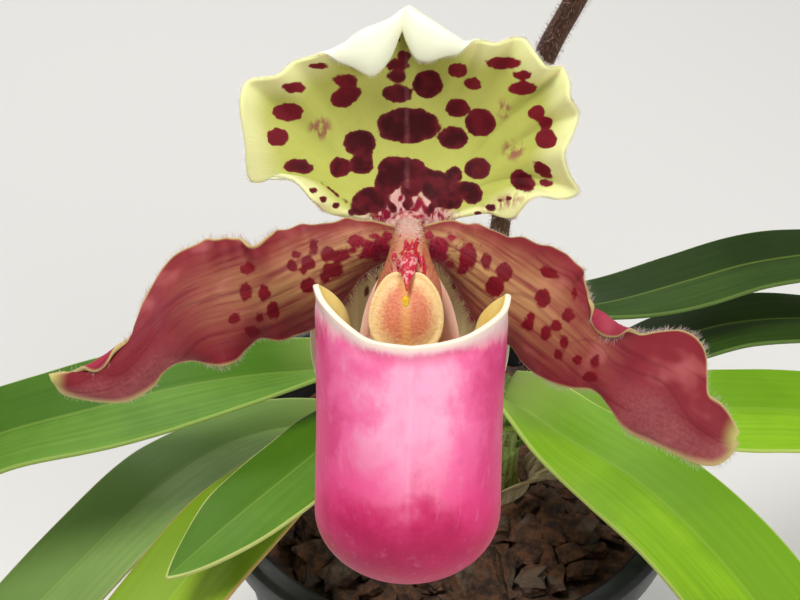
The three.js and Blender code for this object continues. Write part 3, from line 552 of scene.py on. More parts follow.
# %% Petal finishes
def petal_finish(name, front):
    """Rose tissue with dark veins, light patches partly of painted highlight, dusty on its lower outer half,
    and a cream hem.
    """
    place, grain, share, across, margin, spot, dust = open_finish(
        name, "grain", "share", "across", "margin", "spot", "dust")
    veins = uneven(grain, 0.65 * VEIN_PITCH, 4, (0.06, 1, 1))
    cloud = uneven(place, 5 * MM, 2)
    speckle = uneven(place, 0.4 * MM, 2)
    dusty = add_node("MapRange", (speckle, 0.35, 0.65, 0.25, 0.45))
    paint = lay_coats(
        "741f29",
        ("8c3036", cloud, 0, 1),
        # light pink patches by chance: partly the petal's own mottling, partly painted highlight
        ("c47472", cloud, 0.55, 0.75, 0.4),
        ("b2706e", dust, 0, 1, dusty),
    )
    hem = add_node("MapRange", (dust, 0.1, 0.9, 0.55, 1.3))
    if front:
        # The yellow ground: strong near the foot and along the middle, gone by the outer third.
        near = add_node("MapRange", (share, 0.64, 0.12, 0, 0.84))
        streaky = add_node("MapRange", (veins, 0.34, 0.6, 0.3, 1.25))
        ground = add_node("Math", (near, streaky), operation="MULTIPLY")
        paint = lay_coats(paint, ("bf9862", across, 0.95, 0, ground))
    else:
        paint = add_node("Mix", {0: 0.5, 6: paint, 7: "b8405a"}, 2, data_type="RGBA")
    paint = lay_coats(
        paint,
        ("661824", veins, 0.45, 0.32, 0.4),
        ("5c141f", across, 0.05, 0, 0.35),
        ("bdb66a", share, 0.94, 1),
        ("c4b478", margin, hem, 0.1, 0.85),
    )
    if front:
        wobble = uneven(place, 0.7 * MM)
        shaken = add_node("Math", (wobble, 0.8, spot), operation="MULTIPLY_ADD")
        wine = lay_coats("540812", ("861a24", veins, 0, 1), ("a01c34", share, 0.16, 0.06, 0.6))
        paint = lay_coats(paint, (wine, shaken, 0.54, 0.26))
    return tissue(place, paint, 0.46, 0.8, veins, 0.6, gloss=0.15)


PETAL_FINISHES = petal_finish("petal tissue, front", True), petal_finish("petal tissue, reverse", False)
print("finishes:", *(finish.name for finish in PETAL_FINISHES))

# %% [markdown]
# ## The petals
# Two petals reach out and down, waved along their margins. A petal lies between an upper and a lower edge,
# hollowed along its middle line, and its upper margin rolls over in one place.

# %% Petals, drawn
# Lines as x, z and depth; where a roll starts, peaks and ends as shares, and its height; spots as above.
PETALS = {
    "petal_left": {
        "upper": table("""
            -1.3 1.1 .8, -5.4 2 1.2, -8.8 1.7 1.5, -12.3 1.2 1.8, -14.6 .9 1.2, -16 -.1 -.8,
            -17.4 -.6 -1.8, -18.9 -.2 -.8, -20.7 .1 1, -23.2 -.5 2.2, -25.8 -1.7 2.4, -27.3 -3.2 1.8,
            -28.6 -5.2 .8, -29.7 -7.2 -.4, -30.3 -9 -1.2, -30.9 -10.8 -1.8, -32.7 -12.3 -1.8,
            -36 -14.3 -1.2, -38.6 -15 -.4, -40.1 -15.3 .2"""),
        "middle": table("""
            -1.6 -.6 -.2, -5.3 -1.3 -.6, -9.4 -3 -1.2, -13.3 -4.9 -1.8, -17.2 -6.6 -2.2, -21.1 -7.8 -2.2,
            -24.4 -9.1 -1.8, -27.2 -11.3 -1.6, -29.7 -13.8 -2.2, -32.8 -15.8 -2.6, -36.7 -16.4 -1.8,
            -39.8 -15.7 -.2"""),
        "lower": table("""
            -2 -2.2 .8, -3.9 -3.1 1.5, -5.6 -4.3 2.2, -7.2 -6.6 2.8, -8.9 -8.7 3, -10.8 -10.1 2.8,
            -12.8 -10.8 2, -14.3 -11.4 1, -16.7 -11.1 .6, -18.2 -12.3 0, -19.4 -13.7 -1.2,
            -20.7 -14.2 -2, -22.2 -14 -1.4, -24.2 -13.5 .2, -26.3 -13.9 1.2, -27.6 -14.9 1,
            -28.4 -16.2 .4, -29.7 -17.2 -.2, -31.4 -18 -.6, -33.4 -18.1 -.8, -36.6 -17.7 -.6,
            -38.6 -17.1 -.2, -39.4 -15.9 .2"""),
        "roll": (0.76, 0.86, 0.97, 1.6),
        "spots": table("""
            -18 -3.4 .84 .71, -18.3 -6 .71 1.02, -16.2 -6.2 .69 .97, -19.5 -9 .71 .64,
            -17.5 -10.4 .84 .71, -16.7 -8.8 .46 .51, -15.2 -8 .71 1.02, -12.6 -1.9 .51 .46,
            -13.1 -3.1 .56 .64, -10.7 -1 .51 .89, -11.3 -2.8 .82 .82, -11.9 -3.6 .46 .46,
            -9.1 -1.8 .77 .89, -7.7 -2 1.28 .71 20, -8.6 -3.6 1.22 .89, -9.5 -4.4 .51 .64,
            -11.3 -5.3 .89 .82, -6 -.4 .84 .77, -4.4 -1.3 1 1.1, -3.3 -.9 .9 1.1, -2.5 .1 .5 .6,
            -5.3 -1.9 .5 .35 20, -3.9 .3 .5 .3, -2.4 -1.4 .4 .5, -3.6 -2.3 .4 .3, -6.2 -1.3 .4 .25"""),
    },
    "petal_right": {
        "upper": table("""
            1.6 1.3 .8, 4.7 1.9 1.2, 6.7 1.4 1.5, 9.1 .9 1.8, 11.1 0 1.6, 13.2 -.3 1.2, 15.2 -.8 1.6,
            16.8 -1.6 2, 18.3 -2.6 1.8, 19.1 -3.2 1.2, 19.4 -4.7 .2, 20 -6.6 -1, 20.6 -7.9 -1.4,
            22.2 -8.9 -1.2, 24.1 -9.9 -.6, 25.9 -10.6 .4, 27.7 -10.4 1.4, 30.2 -10.3 2.2, 31.8 -11.1 2.2,
            32.8 -12.6 1.6, 33 -15.2 .4, 33.2 -17.4 -.6, 34.6 -18.4 -.4, 35.7 -20 .2, 36.5 -21.8 .6"""),
        "middle": table("""
            1.6 -.6 -.2, 4.4 -1.3 -.6, 7.6 -3.3 -1.4, 10.9 -5.8 -2, 14.4 -8.2 -2.2, 17.8 -10.8 -2.2,
            20.9 -13.6 -2, 24.4 -16 -1.6, 27.8 -17.8 -1.4, 31.3 -20 -1.2, 34.7 -22.2 -.6, 36.2 -22.2 .2"""),
        "lower": table("""
            2 -2 .8, 3.3 -2.7 1.5, 4.8 -4.4 2.4, 6.3 -7 2.8, 7.7 -9.7 3, 9.6 -11.3 3, 11.4 -12 2.6,
            12.7 -13.9 2, 14.2 -15.2 1.2, 16.2 -16.2 .6, 18 -16.7 0, 20.3 -16.8 -.4, 21.3 -17.4 -.6,
            22.6 -19.2 -.8, 23.7 -21 -.4, 25.2 -22.1 0, 26.9 -22.8 .4, 29.5 -24 .6, 32 -25.1 .4,
            34.1 -25.2 .2, 35.6 -24.1 .3, 36.4 -22.6 .6"""),
        "roll": (0.44, 0.515, 0.63, 2.4),
        "spots": table("""
            3.2 -1 1.2 1.1, 3.3 -2.1 .8 .7, 2.2 .3 .5 .5, 4.4 -2.9 .51 .43, 4.6 0 .5 .35 -20,
            2.3 -1.6 .4 .6, 6.5 -2 .97 1.48, 5.8 -3.6 .56 .51, 8.5 -2.6 .64 .97, 10.5 -3.8 .92 1.02,
            9.4 -5.4 1.07 1.17, 15.5 -3.9 1.15 .56 -25, 18.3 -6.1 .31 .56, 14.8 -6.7 .89 1.07,
            13.4 -8.7 .46 .51, 13.1 -9.6 .71 .77, 17.6 -8.6 .71 .82, 16.3 -9.8 .61 .66,
            15.1 -10.5 .64 .82, 17.1 -11.6 .51 .71, 16.5 -12.9 .56 .71, 18.6 -13.6 .51 .51,
            20.6 -13.8 .51 .82, 20.1 -15.4 .82 .56"""),
    },
}
print("spots on the petals:", [len(petal["spots"]) for petal in PETALS.values()])


# %% Petals
PETAL_LENGTH = 44  # mm


def petal_points(petal, rows=190, half_columns=20):
    """Points from the lower to the upper margin, and where each row stands along the petal."""
    share = shares(rows)
    a, m, b = (measured(seen(through(petal[key])), share) for key in ("upper", "middle", "lower"))
    start, peak, stop, height = petal["roll"]
    curl = height * smooth(start, peak, share) * (1 - smooth(peak, stop, share))
    half_width = np.maximum(lengths(a - m), 1.0)

    def strip(c):
        return m + (a - b) / 2 * c[:, None] + ((a + b) / 2 - m) * (c ** 2)[:, None]

    columns = [strip(np.full(rows, c)) for c in np.linspace(-1, 0, half_columns, endpoint=False)]
    columns += [reach_out(strip, unit(a - b), half_width, curl, np.full(rows, r))
                for r in shares(half_columns + 4)]
    points = np.stack(columns, 1)
    # Small ruffles in the upper margin near the foot, where the flower was folded in its bud.
    run = share * run_of(m)[-1]
    ruffle = np.sin(run * 1.55) + 0.5 * np.sin(run * 2.7 + 1)
    ruffle = (0.42 * ruffle * smooth(0.03, 0.12, share) * (1 - smooth(0.42, 0.62, share)))[:, None]
    reach = np.linspace(-1, 1, points.shape[1])
    points[..., 1] += ruffle * (smooth(0.35, 1.0, reach) + 0.3 * smooth(0.4, 1, -reach))
    points[..., 2] += 0.45 * ruffle * smooth(0.6, 1, reach)
    return points, share[:, None]


petal_grids = {}
for name, petal in PETALS.items():
    points, share = petal_points(petal)
    grain, from_lower, from_upper = grain_of(points)
    nearest = np.minimum(from_lower, from_upper)
    width = from_lower + from_upper
    marks = {
        "grain": grain,
        "share": share,
        "across": 1 - 2 * nearest / width,
        "margin": np.minimum(nearest, (1 - share) * PETAL_LENGTH),
        "spot": spot_field(drawn_at(points), petal["spots"]),
        "dust": smooth(0.5, 0.8, share) * smooth(0.62, 0.2, from_lower / width),
    }
    petal_grids[name] = points
    make_blade("waved_" + name, "petal", name, to_plant(points), marks, TO_EYE, BLADE, *PETAL_FINISHES,
               spots=petal["spots"])

# %% [markdown]
# ## The synsepal
# The two lower sepals are grown together in one blade that hangs behind the pouch. It is pale green with
# faint veins and a few dark dots near its foot, and little of it shows from in front.

# %% Synsepal
def pale_sepal():
    """Thin pale green tissue, cream at its margin, whose veins show as darker lines."""
    place, grain, margin, spot = open_finish("lower sepal tissue", "grain", "margin", "spot")
    veins = uneven(grain, VEIN_PITCH, drawn=(0.06, 1, 1))
    paint = lay_coats(
        "a89c5c",
        ("dcd49e", veins, 0, 1),
        ("f0f1cf", margin, 1.6, 0.2, 0.8),
        ("5c1222", spot, 0.08, -0.08),
    )
    return tissue(place, paint, 0.5, 1.2, veins, 0.3)


SYNSEPAL_HALF = table("""
    1.6 -1.5 4.2, 6.5 -4.3 6.2, 10.2 -7.6 8, 11.1 -11 9, 10.2 -16 10.5, 6.8 -22 12, 1.2 -27.5 13""")
SYNSEPAL_MIDDLE = table("0 -1.5 4.4, 0 -8 9, 0 -14 12, 0 -21 14, 0 -27.8 13.4")
SYNSEPAL_SPOTS = table("-4.8 -5.8 .28 .75 -8, 4.9 -5.2 .25 .5 8, -3.6 -4.4 .2 .35")


def synsepal_points(rows=90, columns=49):
    share = shares(rows)
    mirror = [(-x, z, depth) for x, z, depth in SYNSEPAL_HALF]
    left, middle, right = (measured(seen(through(edge)), share)[:, None]
                           for edge in (mirror, SYNSEPAL_MIDDLE, SYNSEPAL_HALF))
    c = np.linspace(-1, 1, columns)[:, None]
    points = middle + (right - left) / 2 * c + ((right + left) / 2 - middle) * c ** 2
    points[..., 1] += 0.5 * np.sin(9 * share)[:, None] * c[:, 0] ** 4
    return points


points = synsepal_points()
grain, from_left, from_right = grain_of(points)
marks = {"grain": grain, "margin": np.minimum(from_left, from_right),
         "spot": spot_field(drawn_at(points), SYNSEPAL_SPOTS)}
make_blade("lower_sepals", "synsepal", "synsepal", to_plant(points), marks, TO_EYE, BLADE, pale_sepal())

# %% [markdown]
# ## Pouch finishes
# The lip's skin is tighter and glossier than a petal's. Outside it is pink: light in front, deeper on the
# flanks, partly as painted shade, crimson at the toe and cream at the rim, with a darker band of painted
# shade in the groove under the rim and clouds where the pigment lies thinner. Inside it is yellow, and
# painted dull where it lies in shade.

# %% Pouch finishes
def pouch_outside():
    """Pink by the turn round the pouch and partly painted shade on the flanks, crimson by the height, cream
    by the way from the rim.
    """
    place, grain, rim, turn, height = open_finish(
        "pouch tissue, outside", "grain", "rim", "turn", "height")
    streaks = uneven(grain, 1.1, 5, (1, 1, 0.3), 0.6)
    patches = uneven(grain, 5, 5, roughness=0.6)
    clouds = add_node("MapRange", (patches, 0.35, 0.65, -16, 16))
    flank_and_shade = add_node("Math", (turn, clouds), operation="ADD")
    low = add_node("Math", (patches, 14, height), operation="MULTIPLY_ADD")
    seam = add_node("MapRange", (height, -33, -24, 0, 0.14))
    # In front the cream fades at once, and near the horns it runs down in pale streaks.
    horn = add_node("MapRange", (turn, 28, 85, 1.3, 5.2))
    ragged = add_node("MapRange", (streaks, 0.3, 0.7, 0.7, 1.3))
    fade = add_node("Math", (horn, ragged), operation="MULTIPLY")
    paint = lay_coats(
        "fdabca",
        # deeper pink towards the flanks and the outline: partly the pouch's own colour, partly painted shade
        ("f56fa4", flank_and_shade, 8, 42),
        ("df4a83", flank_and_shade, 38, 72),
        ("cf4478", turn, 75, 120),
        ("de2470", low, -14, -27, 0.92),
        ("b00c4a", low, -20, -30, 0.88),
        ("c42c64", streaks, 0.46, 0.32, 0.12),
        ("ffc4d8", streaks, 0.56, 0.72, 0.1),
        ("ffd0e0", turn, 2.2, 0, seam),
        # a darker pink band a little under the rim: painted shade in its groove
        ("de5584", rim, 3, 1.5, 0.5),
        ("fbe2da", rim, fade, 0.4),
        ("f8e4cc", rim, 0.6, 0.2, 0.7),
        ("d99a86", turn, 132, 146),
    )
    relief = add_node("Math", (streaks, uneven(place, 0.5 * MM, 2)), operation="ADD")
    return tissue(place, paint, 0.36, 1.2, relief, 0.1, cells=0.03, gloss=0.28)


def pouch_inside():
    place, grain, rim, turn = open_finish("pouch tissue, inside", "grain", "rim", "turn")
    streaks = uneven(grain, 1, drawn=(1, 1, 0.2))
    claw = lay_coats("e0a890", ("f0c4ae", streaks, 0, 1))
    # duller yellow from 6 mm inside the mouth on: painted shade
    paint = lay_coats("eec660", ("fbe79c", streaks, 0, 1), (claw, turn, 128, 144), ("c9b06a", rim, 6, 16))
    return tissue(place, paint, 0.4, 1.2)


# %% [markdown]
# ## The pouch
# The lip is a petal grown into a slipper. Its mouth is low in front, rises to a horn on each side, dips
# behind it and climbs again at the back to the column. One grid is rolled round from the mouth down to the
# toe. Its seam and its pole are merged, and then the wall gets its thickness.

# %% Pouch, drawn
# Degrees round from the front and the height of the mouth there, for each side. The horn's tip is near 88
# degrees. Behind it the wall folds in as an ear, dips, and climbs at the back to the column.
MOUTH_BACK = table("""
    125 -11.2, 136 -12, 147 -12, 150.5 -11.4, 153 -9.6, 156 -7.4, 160 -5.8, 164 -4.5, 169 -3.2, 174 -2.2,
    180 -1.6""")
MOUTH_LEFT = table("""
    0 -12.15, 20 -11.7, 30 -11.15, 40 -10.1, 48 -9.2, 61 -7.75, 72 -6.6, 82 -5.5, 88 -5.15, 95 -5.35,
    102 -6.1, 110 -7.7, 117 -9.3""")
MOUTH_LEFT += [(turn - 4 * (turn < 170), z) for turn, z in MOUTH_BACK]  # the claw is wider on the left
MOUTH_RIGHT = table("""
    0 -12.15, 19 -11.7, 35 -10.95, 45 -10.2, 62 -8.85, 74 -7.9, 83 -6.9, 88 -6.25, 94 -6.5, 100 -7,
    107 -8.2, 115 -10""") + MOUTH_BACK
POUCH_HALF_WIDTH = 10.35
POUCH_HALF_DEPTH = 9.4
BOWL_TOP = -30  # where the straight sides turn into the round toe
BOWL_DROP = 8.5
STRAIGHT = 0.6  # the share of the rows above the bowl
POUCH_WALL = 0.7
print("the mouth is drawn through", len(MOUTH_LEFT + MOUTH_RIGHT), "points")


# %% Pouch
def pouch_points(levels=70, sides=170):
    """Rows from the mouth to the toe, columns round from the back; then each point's height and turn."""
    angle = np.linspace(-pi, pi, sides + 1)[None, :]
    turn = np.degrees(abs(angle))
    s = shares(levels)[:, None] ** 1.15
    dome = np.maximum(0, s - STRAIGHT) / (1 - STRAIGHT) * pi / 2
    drop = np.minimum(1, s / STRAIGHT)
    left, right = (np.interp(turn, *through(side).T) for side in (MOUTH_LEFT, MOUTH_RIGHT))
    mouth = np.where(angle < 0, left, right)
    z = blend(mouth, BOWL_TOP, drop) - BOWL_DROP * np.sin(dome)
    below = (mouth - BOWL_TOP) * drop  # mm under the rim
    flare = 0.35 * (1 - drop) ** 3 + 0.25 * np.maximum(0, (z + 20) / 14)
    groove = 0.16 * np.exp(-((below - 1.7) / 0.7) ** 2) - 0.14 * np.exp(-(below / 0.6) ** 2)
    ear = 2.5 * smooth(87, 112, turn) * (1 - smooth(122, 150, turn)) * (1 - smooth(0, 0.45, s))
    middle = blend(-9.6, -5, (z + 5) / -33.5)
    wide = (POUCH_HALF_WIDTH + flare - ear - groove) * np.cos(dome)
    deep = (POUCH_HALF_DEPTH * blend(1, 0.88, -z / 38) - groove) * np.cos(dome)
    x = wide * np.sin(angle) + blend(0.25, -0.25, drop)
    return seen(np.dstack([x, z, middle - deep * np.cos(angle)])), z, turn


def close_up(piece):
    """Merges the seam and the pole of a rolled grid."""
    open_up(piece)
    bpy.ops.mesh.remove_doubles(threshold=0.01 * MM)
    bpy.ops.object.mode_set(mode="OBJECT")


def give_wall(piece, thickness, inside=0):
    """Closes a rolled grid and thickens it inwards; inside is the place of its inner finish."""
    close_up(piece)
    modify(piece, "SOLIDIFY", thickness=thickness * MM, offset=-1, material_offset=inside)
    soften(piece)
    return piece


pouch, height, turn = pouch_points()
down = lengths(np.diff(pouch, axis=0))
marks = {"grain": pouch, "rim": np.vstack([0 * turn, np.cumsum(down, 0)]), "turn": turn, "height": height}
outwards = (pouch - pouch.mean((0, 1))) @ FLOWER_AXES
slipper = lay_grid("slipper_pouch", to_plant(pouch), marks, outwards, pouch_outside(), pouch_inside())
settle(give_wall(slipper, POUCH_WALL, inside=1), "pouch", "lip_pouch")

# %% [markdown]
# ## Column finishes
# The column is fleshy. Its hood is tan with blood-red blots. Its beak is clear and moist, so it has the
# sharpest gloss in the flower. The shield is dry and grainy, salmon in the middle and cream at its margin.
# Each small part gets its own tissue, so that they read as apart.

# %% Column finishes
def column_skin():
    """Pale at the top, tan down its face, brown on its flanks, with blood-red blots."""
    place, grain, height, side = open_finish("column tissue", "grain", "share", "side")
    blots = uneven(grain, 0.75, 1, (1, 0.45, 1))
    bar = add_node("MapRange", (height, 0.4, -1.6, 0.62, 0.5))
    over = add_node("Math", (blots, bar), operation="SUBTRACT")
    face = add_node("MapRange", (side, 0.9, 0.7))
    shown = add_node("MapRange", (height, 0.6, 0.2, 0, face))
    paint = lay_coats(
        "cc8a6c",
        ("d8a89c", height, -0.6, 1.2),
        ("a9603f", side, 0.5, 0.95, 0.85),
        ("b01c2c", over, 0, 0.03, shown),
    )
    return tissue(place, paint, 0.34, 0.8, uneven(place, 0.35 * MM, 1), 1)


def beak_skin():
    """Clear rose-red tissue with pale flecks of painted highlight, and a moist gloss."""
    place, share = open_finish("beak tissue, moist", "share")
    glint_flecks = uneven(place, 0.55 * MM, 2)
    # pale flecks by chance on the red: painted highlights, whose noise also gives the relief
    paint = lay_coats("c02c42", ("eeaaa8", glint_flecks, 0.5, 0.62, 0.8), ("c8443a", share, 0.7, 1))
    return tissue(place, paint, 0.22, 0.8, glint_flecks, 1)


def shield_skin():
    """Salmon and grainy, cream at the margin, with a lighter line down its middle."""
    place, share, middle = open_finish("staminode tissue", "share", "middle")
    grit = uneven(place, 0.3 * MM)
    out = add_node("Math", (grit, 0.3, share), operation="MULTIPLY_ADD")
    paint = lay_coats(
        "cf6c4e",
        ("e89a74", grit, 0, 1),
        ("f3cf94", out, 0.62, 1),
        ("eeb06a", middle, 0.9, 0.1, 0.7),
    )
    return tissue(place, paint, 0.42, 1, grit, 0.5, cells=0.12)


def plain_tissue(name, low, high, size, roughness):
    """A simpler tissue: two colours mixed in patches of a size in mm."""
    place, = open_finish(name)
    cloud = uneven(place, size * MM)
    return tissue(place, lay_coats(low, (high, cloud, 0.35, 0.65)), roughness, 1, cloud, 0.3)


BEAK_SKIN = beak_skin()
HUB_SKIN = plain_tissue("hub tissue, pink and crimson", "981c36", "e2b0a6", 0.9, 0.45)
BOSS_SKIN = plain_tissue("yellow boss tissue", "e8a312", "f7cf3a", 0.4, 0.3)
STIGMA_SKIN = plain_tissue("stigma tissue", "b06a5c", "d8988a", 1.2, 0.4)
POLLEN_SKIN = plain_tissue("pollen", "d9b04a", "f0d890", 0.5, 0.5)

# %% [markdown]
# ## The column
# In the middle stands the column: a hood that widens down to the shoulders of a round shield, the
# staminode, which closes the pouch's mouth. A red beak hangs over the shield's notch, with little lumps
# beside it and a yellow boss under it. Behind the shield are the stigma and two lumps of pollen. Hood, beak
# and lumps are tubes rolled from grids, and the shield is a fan of rays, domed towards the eye.

# %% Tubes
def rolled(name, rings, marks, finish):
    """A tube from rings[row, column], closed at both ends by drawing its outer rings to a point."""
    caps = [ring.mean(1, keepdims=True).repeat(rings.shape[1], 1) for ring in (rings[:1], rings[-1:])]
    points = np.concatenate([caps[0], rings, caps[1]])
    marks = {key: np.concatenate([mark[:1], mark, mark[-1:]]) for key, mark in marks.items()}
    piece = lay_grid(name, points, marks, points - points.mean(1, keepdims=True), finish)
    close_up(piece)
    soften(piece, 0)
    return piece


def points_round(line, radii, angle, squash=1):
    """Points square to a line, at angles and radii for each row or for each row and column."""
    tangent = unit(np.gradient(line, axis=0))
    right = unit((1, 0, 0) - tangent * tangent[:, :1])
    over = np.cross(tangent, right)
    return (line[:, None] + right[:, None] * (radii * np.cos(angle))[..., None]
            + over[:, None] * (radii * np.sin(angle) * squash)[..., None])


def rings_round(line, radii, sides, squash=1):
    radii = np.asarray(radii, float).reshape(len(line), -1)
    return points_round(line, radii, np.linspace(0, 2 * pi, sides + 1), squash)


def tube(name, line, rings, finish):
    """A rolled tube that carries its share along the line, and millimetres round and along it."""
    run = run_of(line)[:, None]
    around = np.linspace(0, 2 * pi, rings.shape[1])
    size = lengths(rings - line[:, None])
    grain = np.stack([size * np.sin(around), run + 0 * size, size * np.cos(around)], -1)
    return rolled(name, rings, {"share": run / run[-1], "grain": grain}, finish)


def make_lump(top, foot, radius, finish, squash=1, rows=14, sides=16, power=2):
    """An egg of tissue between two points; a higher power makes it blunter."""
    share = shares(rows)
    line = to_plant(blend(np.array(top), np.array(foot), share[:, None]))
    round_off = np.clip(1 - (2 * share - 1) ** power, 0.002, 1) ** 0.5
    return tube("lump", line, rings_round(line, radius * round_off, sides, squash), finish)


def make_bead(x, height, depth, radius, half_tall, finish):
    """A soft lump of column tissue, drawn at x and height."""
    top, foot = (seen((x, height + side * half_tall, depth)) for side in (1, -1))
    return make_lump(top, foot, radius, finish, rows=12)


def join_as(name, pieces):
    """Joins finished pieces into the first one and names it."""
    choose(pieces[0])
    for piece in pieces:
        piece.select_set(True)
    bpy.ops.object.join()
    pieces[0].name = pieces[0].data.name = name
    return pieces[0]


# %% Column, drawn
# Rows from the hub down: x, depth and height of the middle, half width and half depth
HOOD_ROWS = table("""
    0 3.4 2.5 .6 .7, -.05 1.4 1.9 1.3 1.2, -.1 -1.2 .7 1.65 1.4, -.1 -2.8 -.6 1.95 1.5,
    -.1 -3.8 -1.8 2.2 1.45, -.1 -4.4 -2.9 2.55 1.35, -.1 -4.8 -3.9 2.95 1.2, -.15 -5 -5 3.35 .95,
    -.2 -5 -6.6 3.6 .7, -.25 -4.9 -8.4 3.3 .5, -.3 -4.8 -9.6 2.2 .3""")
# x, height and depth of the beak's line, and its radii
BEAK_LINE = table("-.1 -1.9 -5.2, -.15 -2.8 -6.1, -.22 -3.8 -7, -.3 -4.9 -7.8, -.32 -5.9 -8.1")
BEAK_RADII = [0.7, 1.05, 0.85, 0.42, 0.1]
# x, height, depth, half width and half height of the little red lumps on the column's face
RED_BEADS = table("""
    -1.75 -2.1 -5.1 .28 .6, -1.2 -2.9 -5.6 .4 .5, 1.25 -2.6 -5.4 .32 .6, .5 -2.3 -5.9 .4 .5,
    -.45 -.75 -4.5 .2 .7, .3 -.85 -4.6 .2 .7""")
# and of the fleshy ground where sepal, petals and column meet
HUB_LUMPS = table("0 1.9 3.4 2.1 1.2, -1.6 1.5 3.4 1.2 .9, 1.6 1.5 3.4 1.2 .9, 0 .6 3.4 2.6 1.6")
# x and z of the shield's outline, clockwise from the notch at its top
SHIELD_OUTLINE = table("""
    -.3 -4.6, .5 -3.75, 1.5 -3.9, 2.55 -4.9, 3.35 -6.2, 3.8 -7.9, 3.85 -9.6, 3.35 -11.4, 1.95 -12.8,
    -.4 -13.4, -2.7 -12.8, -4.15 -11.3, -4.7 -9.5, -4.6 -7.9, -4.15 -6.4, -3.4 -5, -2.4 -3.95,
    -1.25 -3.7, -.3 -4.6""")
SHIELD_MIDDLE = np.array([-0.4, -8.4])
SHIELD_DEPTH = -6.6
SHIELD_THICKNESS = 0.7
BOSS_X = -0.45
BOSS_HEIGHTS = (-6.45, -7.75)
print("lumps on the column and the hub:", len(RED_BEADS + HUB_LUMPS))


# %% Column
def make_hood():
    """The column itself: a tent that widens down to the shield's shoulders. Also returns its rings."""
    share = shares(80)
    middle_x, depth, height, wide, deep = measured(through(HOOD_ROWS), share).T[..., None]
    angle = np.linspace(0, 2 * pi, 65)[None, :]
    ridges = 1 + 0.05 * np.cos(4 * angle) * smooth(0.15, 0.5, share)[:, None]
    x = middle_x + wide * np.cos(angle) * ridges
    z = height + 0 * x
    rings = to_plant(seen(np.dstack([x, z, depth + deep * np.sin(angle) * ridges])))
    marks = {"share": z, "side": abs(np.cos(angle)) + 0 * x, "grain": np.dstack([x + 0.35, z + 0.22, 0 * x])}
    return rolled("column_hood", rings, marks, column_skin()), rings


def make_beak():
    share = shares(40)
    line = to_plant(measured(seen(through(BEAK_LINE)), share))
    radii = evened(np.interp(share, shares(len(BEAK_RADII)), BEAK_RADII), 3)
    return tube("beak", line, rings_round(line, radii, 32, squash=0.7), BEAK_SKIN)


def make_shield():
    outline = measured(through(SHIELD_OUTLINE), shares(121))
    share = shares(26)[:, None]
    flat = blend(SHIELD_MIDDLE, outline, share[..., None])
    beside = flat[..., 0] - BOSS_X
    dome = -1.1 * np.cos(share * pi / 2) ** 0.8 - 0.35 * smooth(0.82, 0.96, share)
    groove = 0.5 * np.exp(-(beside / 0.7) ** 2) * smooth(-8.6, -5.0, flat[..., 1])
    points = seen(np.dstack([flat, SHIELD_DEPTH + dome + groove]))
    marks = {"share": share, "middle": abs(beside)}
    return give_wall(lay_grid("shield", to_plant(points), marks, TO_EYE, shield_skin()), SHIELD_THICKNESS)


column_hood, hood_rings = make_hood()
boss_ends = [seen((BOSS_X, height, SHIELD_DEPTH - 0.72)) for height in BOSS_HEIGHTS]
column_parts = [
    column_hood, make_beak(), make_shield(),
    make_lump(*boss_ends, 0.42, BOSS_SKIN, squash=0.8, power=4),
    make_lump((0, -3.4, -3.2), (0, -3.4, -8.2), 2, STIGMA_SKIN, squash=0.6, rows=24, sides=32),
    *[make_lump((x, -3.9, -2.6), (x, -3.9, -4.3), 0.75, POLLEN_SKIN) for x in (-1.9, 1.9)],
    *[make_bead(*bead, BEAK_SKIN) for bead in RED_BEADS],
    *[make_bead(*lump, HUB_SKIN) for lump in HUB_LUMPS],
]
settle(join_as("column_and_shield", column_parts), "column", "column")

# %% [markdown]
# ## Leaf skin
# A leaf's skin is waxed, so it is smoother and glossier than a petal, but the wax is thin and the light on
# it stays soft. Its green comes from below the skin, where many fine veins show lengthwise, and the margin
# has none. One finish is mixed in six tones of green. The deep tone is painted shade: a darker copy for the
# two leaves that reach back under the plant, where shade lies, and on every leaf the half of the fold
# turned from the light is painted darker.

# %% Leaf finishes
def leaf_finish(name, dark, light, hem):
    """Veined green, with painted shade on the half of the fold turned from the light, pale at its foot and
    margin.
    """
    place, grain, share, across, margin, half = open_finish(
        name, "grain", "share", "across", "margin", "half")
    veins = uneven(grain, 0.8, 4, (0.02, 1, 1), 0.65)
    cloud = uneven(place, 14 * MM)
    tone = add_node("MapRange", (veins, 0.3, 0.7, 0.36, 0.74))
    paint = lay_coats(
        add_node("Mix", {0: tone, 6: dark, 7: light}, 2, data_type="RGBA"),
        (dark, cloud, 0.4, 0.7, 0.4),
        # painted shade: the half of the fold turned from the light is mixed towards the dark green
        (dark, half, 0.12, -0.04, 0.62),
        ("a4bf50", across, 0.05, 0.01, 0.2),
        ("b4c470", share, 0.22, 0.02, 0.6),
        (hem, margin, 0.45, 0.2),
    )
    return seal(paint, veins, 0.2, 0.2, Roughness=0.52, IOR=1.4, Specular_IOR_Level=0.3,
                Subsurface_Weight=0.15, Subsurface_Radius=(0.5, 1.0, 0.2), Subsurface_Scale=MM)


LEAF_FINISHES = {tone: leaf_finish(f"leaf skin, {tone} green", *cards) for tone, *cards in (
    ("bright", "5e8e0e", "a0d028", "b4c860"),
    ("full", "355e0a", "76a236", "8fa850"),
    ("mid", "42690e", "648f26", "b4bc6c"),
    # the deep tone is painted shade: a darker copy of the leaf green for the leaves that lie in shade at the
    # back
    ("deep", "1a2a0a", "42601f", "5c7434"),
    ("grey", "66863e", "96b064", "9cac68"),
    ("yellow", "729418", "a0bc34", "b49a56"),
)}
print(len(LEAF_FINISHES), "tones of leaf")

# %% [markdown]
# ## Leaves
# A slipper orchid's leaf is a strap, folded at its foot like an open book and flatter towards its tip. It
# could be bent from a plane, but a bent plane keeps its width, and a leaf narrows at both ends. So each
# blade is laid square to its midrib, row by row.

# %% Leaves
LEAF_BLADE = 0.9
FOOT_FOLD = 52  # degrees
